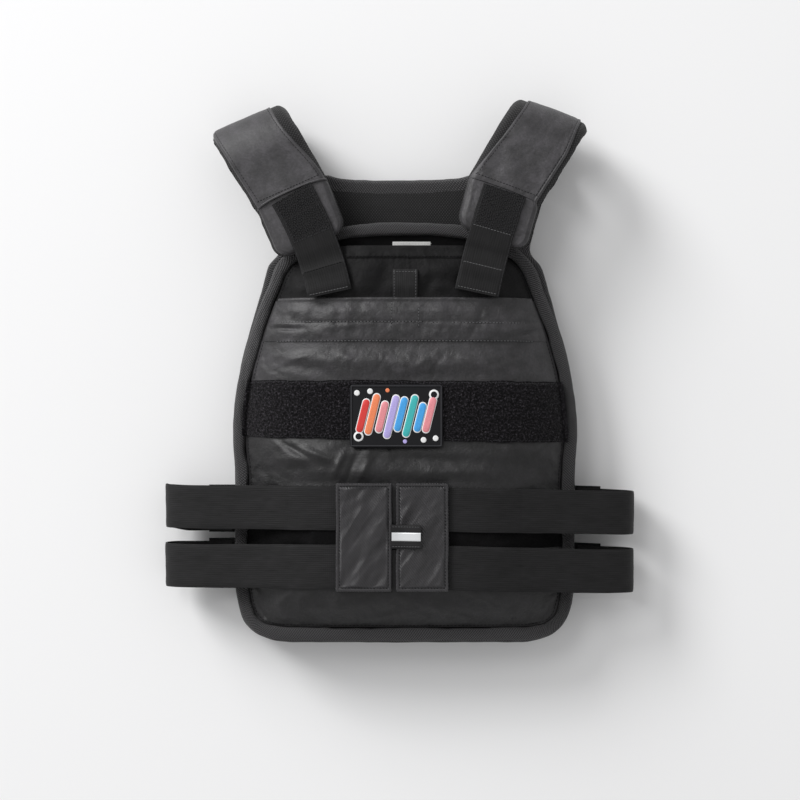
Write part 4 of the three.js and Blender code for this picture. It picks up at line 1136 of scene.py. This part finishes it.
# Shoulders
def resting_height(x, y):
    on_cover = (y < MOUTH_LINE) & (np.abs(x) < cover_half(y))
    face = smooth_face(x, y) + fold_lift(x, y, FOLDS) * bulge_across(x, y)
    return np.where(on_cover, face, front_top(x, y) + EDGE_ROLL)


def shoulder_path(s):
    """Centre line of a shoulder pad from the rear ear, round the fold and down to the front panel."""
    across, at = shoulder_plan(s)
    outer, inner = ear_line(s)
    centre = (outer + inner) / 2
    ear = rear_under(centre[0], centre[1]) + PAD_THICKNESS / 2
    low = SHOULDER_THICKNESS * PAD_CROWN + CLOTH + GAP
    high = low + 2 * SHOULDER_TURN
    foot = np.concatenate([at(b) + across * o for o in np.linspace(-37, 37, 9)
                           for b in np.linspace(SHOULDER_REACH - 34, SHOULDER_REACH, 6)]).reshape(-1, 3)
    end = resting_height(foot[:, 0], foot[:, 1]).max() + GAP + SHOULDER_THICKNESS * PAD_CROWN
    t = np.linspace(0, 1, 16)[:-1]
    turn = np.radians(np.linspace(-90, 90, 56))
    u = np.linspace(0, 1, 46)[1:]
    left = 20 * (1 - np.linspace(0, 1, 26)[1:]) ** 1.6
    back = np.concatenate([mix(SHOULDER_REAR - EAR_SEAM, SHOULDER_TURN, t),
                           SHOULDER_TURN - (SHOULDER_TURN + FOLD_REACH) * np.cos(turn),
                           mix(SHOULDER_TURN, SHOULDER_REACH - 20, u), SHOULDER_REACH - left])
    z = np.concatenate([mix(ear, low, smooth(t)), low + SHOULDER_TURN * (1 + np.sin(turn)),
                        mix(high, end, smooth(u)), np.full(len(left), end)])
    round_end = 0.6 + 0.355 * np.sqrt(clamp01(1 - (1 - np.minimum(left, 13) / 13) ** 2))
    share = np.concatenate([np.ones(len(t) + len(turn)), mix(1, 0.955, u), round_end])
    thick = np.concatenate([np.ones(len(t) + len(turn) + len(u)),
                            np.sqrt(clamp01(1 - (1 - np.minimum(left + 0.4, 5) / 5) ** 2)) * 0.85 + 0.15])
    front = np.arange(len(back)) >= len(t) + len(turn) - 1
    points = at(np.maximum(back, 0.0)) + (at(0 * back) - at(0 * back + 2)) / 2 * np.maximum(-back, 0)[:, None]
    points[:, 2] = z
    ahead = np.vstack([points[1:], points[-1:]]) - np.vstack([points[:1], points[:-1]])
    normal = unit(np.cross(ahead, across))
    run = lengths_along(points)
    return dict(at=points, across=across, normal=normal, half=SHOULDER_WIDTH / 2 * share, back=back,
                front=front, run=run, thick=thick, end=end)


def crown(inside, half):
    """Height of a pad's side above its middle plane, as a share of its thickness."""
    edge = 0.5 * (1 - (1 - clamp01(inside / (0.6 * SHOULDER_THICKNESS))) ** 2.2)
    return edge + 0.04 * smooth((inside - 0.6 * SHOULDER_THICKNESS) / np.maximum(1, half - 0.6 * SHOULDER_THICKNESS))


def build_shoulder(name, s):
    path = shoulder_path(s)
    at, normal, half, run = path["at"], path["normal"], path["half"], path["run"]
    across, side = path["across"], s["side"]
    seam_back = SEAM_AT[side]
    seed = 60 if side < 0 else 80

    # mesh body, its outer edge wavy where the under layer shows
    turns = np.linspace(0, 2 * math.pi, 56, endpoint=False)
    cos, sin = np.cos(turns), np.sin(turns)
    out = np.sign(cos) * np.abs(cos) ** 0.72
    rings = []
    for i in range(len(at)):
        reach = half[i] + (0.9 * noise(run[i], 0.0, 13, seed) + 0.5 * noise(run[i], 0.0, 6, seed + 1))
        w = out * np.where(out * side > 0, reach, half[i] + 0.35 * noise(run[i], 0.0, 11, seed + 2))
        inside = half[i] - np.minimum(np.abs(w), half[i])
        lift = np.sign(sin) * crown(inside, half[i]) * SHOULDER_THICKNESS * path["thick"][i]
        lift = np.where(np.abs(sin) < 1e-6, 0, lift)
        rings.append(at[i] + across * w[:, None] + normal[i] * lift[:, None])
    rings = np.stack(rings)
    around = np.concatenate([out * 37, out[:1] * 37])
    body = Piece().tube(rings, run[:, None], around[None, :])
    body.make(f"shoulder_pad_mesh_{name}", [MESH], f"shoulder_pad_{name}", "mesh", 0.7)

    # nylon face with its folded edges, in the lighter nylon whose extra lightness is painted light
    keep = np.arange(3, len(at) - 1)
    fold_at = int(np.argmin(path["back"]))
    back_front = np.where(np.arange(len(at)) >= fold_at, path["back"], 0)
    seam_i = int(np.argmax(path["front"] & (path["back"] > seam_back)))
    beyond = smooth((run - run[seam_i]) / 6)
    inner_strip = mix(mix(12.0, 1.0, smooth((back_front - 6) / 66)) if side < 0 else
                      mix(11.5, 0.8, clamp01((back_front - 2) / 74) ** 1.3), 0.6, beyond)
    near_fold = smooth((back_front + FOLD_REACH) / 36)
    outer_strip = mix(mix(0.9, 2.2, near_fold) if side < 0 else mix(8.0, 4.2, near_fold), 1.4, beyond)
    w = np.linspace(-1, 1, 84)
    w = np.sign(w) * (1 - (1 - np.abs(w)) ** 1.35)
    rows = []
    for i in keep:
        inner = half[i] - inner_strip[i]
        outer = half[i] - outer_strip[i]
        low, high = (-inner, outer) if side > 0 else (-outer, inner)
        o = mix(low, high, (w + 1) / 2)
        edge = np.minimum(o - low, high - o)
        inside = half[i] - np.abs(o)
        lift = crown(inside, half[i]) * SHOULDER_THICKNESS * path["thick"][i]
        rim = smooth(edge / 1.3)
        outer_side = (o * side > 0) | (back_front[i] > seam_back)
        lift = lift + mix(-0.7, GAP + 0.8, rim)
        lift = lift + np.where(outer_side, 0.28, 0.1) * np.exp(-((edge - 2.0) / 0.9) ** 2)
        lift = lift - np.where(outer_side, 0.35, 0.12) * np.exp(-((edge - 3.6) / 0.6) ** 2)
        rows.append(at[i] + across * o[:, None] + normal[i] * lift[:, None])
    rows = np.stack(rows)
    start = rows[::2, ::3].copy()
    held = np.zeros(start.shape[:2], bool)
    held[:, [0, 1, -1, -2]] = True
    held[[0, -1]] = True
    held |= (np.abs(run[keep][::2] - run[seam_i]) < 2.0)[:, None]
    inward = np.cross(rows[40, 41] - rows[40, 40], rows[41, 40] - rows[40, 40]) @ normal[keep][40] < 0
    moved = settle(f"face_cloth_{name}", start, held, 0.02, 1.5, 22, 2.2, flip=inward)
    outward = normal[keep][::2][:, None]
    rise = (moved * outward).sum(-1, keepdims=True)
    moved = moved + outward * (np.maximum(rise, -0.35) - rise)
    fine = stretch(moved, np.linspace(0, 1, rows.shape[0])[:, None] * np.ones((1, rows.shape[1])),
                   np.ones((rows.shape[0], 1)) * np.linspace(0, 1, rows.shape[1])[None])
    rr = run[keep][:, None]
    oo = np.broadcast_to(w[None] * 36, rows.shape[:2])
    quiet = smooth((1 - np.abs(w)) * 6)[None]
    soft = (0.42 * noise(rr, oo, 24, seed + 5) + 0.16 * noise(rr * 0.7, oo, 10, seed + 6)
            + 0.06 * noise(rr, oo, 4.5, seed + 7)) * quiet
    folded = np.exp(-((back_front[keep][:, None] - 8) / 16) ** 2) * path["front"][keep][:, None]
    soft = soft + folded * (0.6 if side > 0 else 0.15) * np.abs(noise(rr + oo * 0.5, oo * 1.3, 11, seed + 8)) * quiet
    rows = rows + normal[keep][:, None] * (soft[..., None] + 0.15)
    rows = rows + fine * FACE_SHARE[side]
    face = Piece().grid(rows, rr, oo, 0, flip=inward)
    for column in (9, rows.shape[1] - 10):
        edge_line = rows[4:seam_i - 4, column]
        face.stitches(edge_line, normal[keep][4:seam_i - 4], 1, 3.2, 2.3, 0.24)
    row = max(4, seam_i - 6)
    face.stitches(rows[row, 6:-6], normal[keep][row], 1, 3.0, 2.2, 0.28)
    face.make(f"shoulder_face_nylon_{name}", [NYLON_FACE_PAINTED_LIGHT, THREAD_DARK], f"shoulder_face_{name}", "nylon", 0.6)

    # piping across the seam where the pad's end piece is sewn on
    k = seam_i - 3
    ends = np.linspace(0, 1, rows.shape[1] - 4)
    bow = k + (2.2 if side < 0 else 1.0) * (np.abs(2 * ends - 1) ** 2.5 - 0.6)
    low_row = np.floor(bow).astype(int)
    columns = np.arange(2, rows.shape[1] - 2)
    line = mix(rows[low_row, columns], rows[low_row + 1, columns], (bow - low_row)[:, None])
    line = line + normal[seam_i] * (0.9 if side < 0 else 0.3)
    line = line - normal[seam_i] * (2.2 * (np.abs(2 * ends - 1) ** 9))[:, None]
    radius = 1.25 if side < 0 else 0.7
    tangent = unit(np.gradient(line, axis=0))
    up = unit(np.cross(tangent, np.cross(normal[seam_i], tangent)))
    aside = np.cross(up, tangent)
    ring = np.linspace(0, 2 * math.pi, 14, endpoint=False)
    tube = line[:, None] + radius * (aside[:, None] * np.cos(ring)[None, :, None]
                                     + up[:, None] * np.sin(ring)[None, :, None])
    length = lengths_along(line)
    piping = Piece().tube(tube, length[:, None], np.linspace(0, 7, 15)[None])
    piping.make(f"shoulder_piping_cloth_{name}", [NYLON_FACE_PAINTED_LIGHT], f"shoulder_piping_{name}", "webbing")
    build_strap(name, s, path, seam_i, seed)


def build_strap(name, s, path, seam_i, seed):
    """Webbing from the cross seam over the pad's end and down on to the front panel."""
    count = 130
    seam_back = SEAM_AT[s["side"]]
    reach_down = STRAP_LENGTH + (0.5 if s["side"] < 0 else -0.5)
    run = np.linspace(0, reach_down, count)
    lean = np.radians(mix(s["strapLean"], s["strapEndLean"], run / reach_down))
    heading = np.stack([-s["side"] * np.sin(lean), -np.cos(lean), 0 * lean], 1)
    start = path["at"][seam_i] * (1, 1, 0)
    xy = start + np.vstack([np.zeros(3), np.cumsum(heading[1:] * (reach_down / (count - 1)), axis=0)])
    limb = path["front"]
    high = np.interp(np.minimum(seam_back + run, SHOULDER_REACH - 21), path["back"][limb], path["at"][limb][:, 2])
    over = np.maximum(path["end"] + FACE_LIFT + CLOTH + GAP, high + FACE_LIFT + CLOTH + GAP + 0.2)
    down = smooth((run - (SHOULDER_REACH - seam_back + 4)) / STRAP_DROP)
    on_front = np.max([face_height(xy[:, 0] + dx, xy[:, 1]) for dx in np.linspace(-20, 20, 7)], 0) + ON_FACE + 1.6
    z = mix(over, on_front, down)
    kernel = np.hanning(9) / np.hanning(9).sum()
    z = np.convolve(np.pad(z, 4, mode="edge"), kernel, "valid")
    centre = np.column_stack([xy[:, :2], z])
    across = np.stack([np.cos(lean), -s["side"] * np.sin(lean), 0 * lean], 1)
    normal = unit(np.cross(np.gradient(centre, axis=0), across))
    normal = normal * np.sign(normal[:, 2:3])
    doubled = smooth((run - (reach_down - STRAP_FOLD)) / 2.0)
    o = np.linspace(-1, 1, 44)
    keep = run > 0.2
    wave = 0.18 * noise(run[:, None], o[None] * 20, 14, seed + 20)
    reach = STRAP_WIDTH / 2 + 0.25 * noise(run, 0 * run, 9, seed + 21)
    flat = centre[:, None] + across[:, None] * (o[None, :, None] * reach[:, None, None])
    thick = WEBBING * (1 + 0.95 * doubled)
    top = flat + normal[:, None] * (thick[:, None] * (1 - 0.35 * np.abs(o[None]) ** 14) + wave)[..., None]
    under = flat + normal[:, None] * wave[..., None]
    strap = Piece().slab(top[keep], under[keep], run[keep][:, None], (o * STRAP_WIDTH / 2)[None])
    box = run < STRAP_BOX_END - seam_back
    lines = np.flatnonzero(box & keep)
    rng = np.random.default_rng(seed)
    for j, row in enumerate(lines[2:-1:3]):
        zigzag = 1.6 * np.sin(np.arange(40) * 0.9 + rng.uniform(0, 6)) + rng.uniform(-1, 1)
        points = top[np.clip(row + zigzag.astype(int), 1, lines[-1]), np.arange(2, 42)]
        strap.stitches(points, normal[row], 2, 2.3, 1.4, 0.3, skip=rng.uniform(0, 1.5), pits=3)
    for column in (1, 42):
        strap.stitches(top[2:-2, column], normal[2:-2], 2, 6.0, 5.7, 0.26)
    for column in (3, 40):
        strap.stitches(top[lines[1]:lines[-1], column], normal[lines[1]:lines[-1]], 2, 2.8, 2.2, 0.3)
    strap.stitches(top[lines[-1], 2:-2], normal[lines[-1]], 1 if s["side"] > 0 else 2, 2.8, 2.3, 0.34)
    fold = int(np.argmax(run > reach_down - STRAP_FOLD + 1.5))
    strap.stitches(top[fold, 2:-2], normal[fold], 1 if s["side"] > 0 else 3, 2.8, 2.3, 0.34)
    strap.stitches(top[-4, 2:-2], normal[-4], 1, 2.8, 2.3, 0.34)
    materials = [WEB, THREAD, THREAD_DULL, THREAD_DARK]
    strap.make(f"shoulder_strap_webbing_{name}", materials, f"shoulder_strap_{name}", "webbing")


# Waist bands and closure
WAIST_Y = np.linspace(BAND_CENTRE - FLAP_HEIGHT / 2, BAND_CENTRE + FLAP_HEIGHT / 2, 21)


def waist_face(x):
    x = np.atleast_1d(np.asarray(x, float))[:, None]
    z = smooth_face(x, WAIST_Y[None]) + fold_lift(x, WAIST_Y[None], FOLDS) * bulge_across(x, WAIST_Y[None])
    return z.max(1) + ON_FACE


def bezier(a, b, c, d, count):
    t = np.linspace(0, 1, count)[:, None]
    return (1 - t) ** 3 * a + 3 * (1 - t) ** 2 * t * b + 3 * (1 - t) * t**2 * c + t**3 * d


def return_drop(s, up):
    """How far a band's return and its tab lie below the band in front."""
    return -5.0 if s["side"] < 0 and up > 0 else 0.0


def band_middle(s, up, fall, x):
    return BAND_CENTRE + up * BAND_PITCH / 2 - s[fall] * np.abs(x) / s["tip"]


def build_band(name, s, row, up, fall, seed):
    leave = HALF_PANEL * 0.66
    start = max(6.0, s["side"] * CLOSURE_SHIFT + CLOSURE_SLOT + 10)
    xs = np.linspace(start, leave, 60)
    face = np.column_stack([xs, waist_face(xs)])
    slope = (face[-1, 1] - face[-9, 1]) / (face[-1, 0] - face[-9, 0])
    tip = np.array([s["tip"] - ELASTIC, BAND_TIP_Z])
    end = face[-1]
    out = bezier(end, np.array([mix(end[0], tip[0], 0.6), end[1] + slope * 0.5 * (tip[0] - end[0])]),
                 np.array([tip[0], mix(tip[1], end[1], 0.62)]), tip, 90)
    seat = np.array([TAB_END + 2, TAB_TOP + GAP + ELASTIC])
    back = bezier(tip, np.array([tip[0], mix(tip[1], seat[1], 0.75)]),
                  np.array([mix(tip[0], seat[0], 0.35), seat[1]]), seat, 40)
    route = resample(np.vstack([face[:-1], out[:-1], back, [[HALF_PANEL + 3, seat[1]]]]), 230)
    run = lengths_along(route)
    y = band_middle(s, up, fall, route[:, 0])
    centre = np.column_stack([s["side"] * route[:, 0], y, route[:, 1]])
    across = np.array([0.0, s["side"], 0.0])
    normal = unit(np.cross(np.gradient(centre, axis=0), across))
    o = np.linspace(-1, 1, 28)
    free = smooth((run - 95) / 60)
    returns = smooth((run - run[np.argmax(route[:, 0])]) / 30)
    sway = 0.5 * noise(run, 0 * run, 60, seed) * free
    reach = BAND_WIDTH / 2 + 0.2 * noise(run, 0 * run, 17, seed + 1)
    wave = (0.5 * noise(run[:, None], o[None] * 20, 34, seed + 2) * free[:, None]
            + 0.14 * noise(run[:, None], o[None] * 20, 7, seed + 3))
    drop = returns * return_drop(s, up)
    flat = (centre[:, None] + across * (o[None, :, None] * reach[:, None, None])
            + np.array([0, 1.0, 0]) * (sway + drop)[:, None, None])
    thick = ELASTIC * (1 - 0.3 * np.abs(o) ** 12)
    top = flat + normal[:, None] * (thick[None] + wave)[..., None]
    under = flat + normal[:, None] * wave[..., None]
    band = Piece().slab(top, under, run[:, None], (o * BAND_WIDTH / 2)[None])
    near = np.flatnonzero(route[:, 0] < TAB_END - 3)[-1]
    near = max(near, len(run) - 11)
    band.stitches(top[near, 2:-2], normal[near], 1, 2.8, 2.2, 0.3)
    band.make(f"waist_band_elastic_{row}_{name}", [STRETCH, THREAD], f"waist_band_{row}_{name}", "elastic")

    x, v = plan_grid(HALF_PANEL - EDGE_BAND, TAB_END, -SIDE_TAB_WIDTH / 2, SIDE_TAB_WIDTH / 2, 1.0)
    yy = band_middle(s, up, fall, x) + v + return_drop(s, up) * 0.8
    wob = 0.15 * noise(x, v, 9, seed + 4)
    top = np.stack([s["side"] * x, yy, TAB_TOP + wob], -1)
    under = np.stack([s["side"] * x, yy, TAB_TOP - WEBBING + wob], -1)
    tab = Piece()
    if s["side"] > 0:
        tab.slab(top, under, x, v)
    else:
        tab.slab(top[:, ::-1], under[:, ::-1], x[:, ::-1], v[:, ::-1])
    for col in (-4, -8):
        tab.stitches(top[3:-3, col], UP, 1, 2.8, 2.2, 0.3)
    tab.make(f"side_tab_webbing_{row}_{name}", [WEB, THREAD], f"side_tab_{row}_{name}", "webbing")


def closure_base(x):
    """Height at which the closure rests on the bands."""
    return waist_face(x.ravel()).reshape(x.shape) + CLOSURE_REST


def pull_bow(x, left):
    """How far the pull tab lifts towards its free end."""
    return PULL_RISE * smooth((x - left) / PULL_LENGTH * 1.2 - 0.2)


def build_closure():
    """The two closure flaps, the pull tab and its reflective strip."""
    low = BAND_CENTRE - FLAP_HEIGHT / 2
    for name, s in SIDES.items():
        side = s["side"]
        inner = CLOSURE_SHIFT + side * CLOSURE_SLOT / 2
        outer = inner + side * CLOSURE_WIDTH
        x0, x1 = (outer, inner + 1.2) if side < 0 else (inner + 2.6, outer + 0.6)
        cols, rows = 90, 176
        b, a = np.meshgrid(np.linspace(-1, 1, rows), np.linspace(-1, 1, cols), indexing="ij")
        a = np.sign(a) * (1 - (1 - np.abs(a)) ** 1.2)
        b = np.sign(b) * (1 - (1 - np.abs(b)) ** 1.2)
        half_x, half_y, corner = (x1 - x0) / 2, FLAP_HEIGHT / 2, 1.6
        dx = a * half_x
        past = np.maximum(0, np.abs(dx) - (half_x - corner))
        limit = half_y - corner + np.sqrt(np.maximum(0, corner**2 - past**2))
        dy = b * limit
        inside = np.minimum(half_x - np.abs(dx), limit - np.abs(dy))
        seed = 110 + side
        x = dx + (x0 + x1) / 2 + 0.35 * noise(dy, 0 * dy, 21, seed) * (np.abs(a) > 0.5)
        y = dy + low + half_y
        base = closure_base(x)
        body = smooth((inside - 3.6) / 2.5)
        cross, slant = dx * 0.82 - dy * 0.57, dx * 0.57 + dy * 0.82
        waves = 1.5 * noise(cross, slant * 0.45, 12, seed + 1) + 0.5 * noise(cross, slant * 0.35, 5, seed + 2)
        waves = waves + 1.1 * (0.5 - np.abs(noise(cross, slant * 0.3, 9, seed + 3)))
        waves = waves * body
        hem = 0.45 * smooth(inside / 0.9) - 0.55 * np.exp(-((inside - 3.4) / 0.6) ** 2)
        z = base + CLOSURE_THICKNESS * smooth(inside / 0.8 + 0.3) + hem - 0.45 + waves * 1.05
        top = np.stack([x, y, z], -1)
        under = np.stack([x, y, base], -1)
        flap = Piece()
        flap.grid(top, x, y, 0)
        flap.grid(under[::6, ::6], x[::6, ::6], y[::6, ::6], 0, flip=True)
        for pick, flip in GRID_SIDES:
            flap.grid(np.stack([top[pick], mix(top[pick], under[pick], 0.5), under[pick]]),
                      np.arange(len(top[pick]))[None] * 0.7, np.array([[0], [1.2], [2.4]]), 0, flip=flip)
        hx, hy = half_x - 3.4, half_y - 3.4
        for p, q in (((-hx, -hy), (hx, -hy)), ((hx, -hy), (hx, hy)), ((hx, hy), (-hx, hy)), ((-hx, hy), (-hx, -hy))):
            line = np.linspace(p, q, 60) + ((x0 + x1) / 2, low + half_y)
            zz = closure_base(line[:, 0]) + CLOSURE_THICKNESS - 0.55
            flap.stitches(np.column_stack([line, zz]), UP, 2, 2.9, 1.6, 0.38, pits=1)
        flap.make(f"closure_flap_twill_{name}", [TWILL, THREAD_DARK, THREAD_DULL], f"closure_flap_{name}", "twill", 0.3)

    left = CLOSURE_SHIFT - CLOSURE_SLOT / 2
    x, y = plan_grid(left, left + PULL_LENGTH - 1.4, PULL_MIDDLE - PULL_HEIGHT / 2,
                     PULL_MIDDLE + PULL_HEIGHT / 2, 0.5)
    lift = closure_base(x) + CLOSURE_THICKNESS + GAP
    bow = pull_bow(x, left)
    rim = np.minimum(y - y.min(), y.max() - y)
    z = lift + bow + PULL_THICKNESS * smooth(rim / 0.7 + 0.4) + 0.12 * noise(x, y, 6, 120)
    pull = Piece().slab(np.stack([x, y, z], -1), np.stack([x, y, lift + bow * 0.6], -1), x, y)
    for at in (4, -5):
        pull.stitches(np.stack([x, y, z], -1)[at, 2:-2], UP, 1, 2.6, 1.9, 0.24)
    pull.make("pull_tab_webbing", [WEB_FINE, THREAD], "pull_tab", "webbing")
    half = STRIP_HEIGHT / 2 - 0.4
    x, y = plan_grid(left + 0.8, left + PULL_LENGTH - 1.8, PULL_MIDDLE - half, PULL_MIDDLE + half, 0.5)
    bow = pull_bow(x, left)
    base = closure_base(x) + CLOSURE_THICKNESS + 2 * GAP + PULL_THICKNESS
    rim = np.minimum(y - y.min(), y.max() - y)
    z = base + bow + STRIP_THICKNESS * smooth(rim / 0.4 + 0.3) - 0.1
    strip = Piece().slab(np.stack([x, y, z], -1), np.stack([x, y, base + bow - 0.3], -1), x, y)
    strip.make("reflective_strip_tape", [SILVER], "reflective_strip", "reflector")


build_panels()
build_cover()
build_face_details()
build_patch()
for side_name, side_values in SIDES.items():
    build_shoulder(side_name, side_values)
    number = 130 if side_name == "left" else 150
    build_band(side_name, side_values, "upper", 1, "fallUpper", number)
    build_band(side_name, side_values, "lower", -1, "fallLower", number + 8)
build_closure()


# Floor, light and camera
def build_studio():
    bpy.ops.mesh.primitive_plane_add(size=8.0, location=(0, 0, 0))
    floor = bpy.context.object
    floor.name = "studio_floor"
    ground = Look("floor", 0.8, Specular_IOR_Level=0.2)
    ground.colour(ground.speckle(900, 2), [(0.3, (0.84, 0.84, 0.845)), (0.7, (0.87, 0.87, 0.875))])
    floor.data.materials.append(ground.material)
    floor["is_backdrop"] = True

    scene = bpy.context.scene
    world = bpy.data.worlds.new("studio")
    world.use_nodes = True
    world.node_tree.nodes["Background"].inputs["Color"].default_value = (1, 1, 1, 1)
    world.node_tree.nodes["Background"].inputs["Strength"].default_value = 0.545
    scene.world = world

    def area(name, where, aim, size, power):
        data = bpy.data.lights.new(name, "AREA")
        data.shape = "DISK"
        data.size = size
        data.energy = power
        light = bpy.data.objects.new(name, data)
        scene.collection.objects.link(light)
        light.location = where
        light.rotation_euler = (Vector(aim) - Vector(where)).to_track_quat("-Z", "Y").to_euler()

    area("key", (-4.7, 4.2, 3.6), (0.0, 0.0, 0.0), 2.8, 320)
    area("low", (-3.6, 4.5, 2.2), (0.0, 0.0, 0.0), 2.4, 120)
    area("high", (-1.3, 1.3, 3.0), (0.0, 0.0, 0.0), 1.2, 16)

    camera = bpy.data.cameras.new("camera")
    camera.sensor_width = 36.0
    camera.lens = 89.06
    camera.clip_end = 20.0
    holder = bpy.data.objects.new("camera", camera)
    scene.collection.objects.link(holder)
    holder.location = (0.0004, -0.02454, 1.9)
    holder.rotation_euler = (0, 0, 0)
    scene.camera = holder
    scene.view_settings.view_transform = "Standard"


build_studio()
VISUAL_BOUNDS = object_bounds()
({"cad": [list(corner) for corner in CAD_BOUNDS],
           "visual": [list(corner) for corner in VISUAL_BOUNDS]})
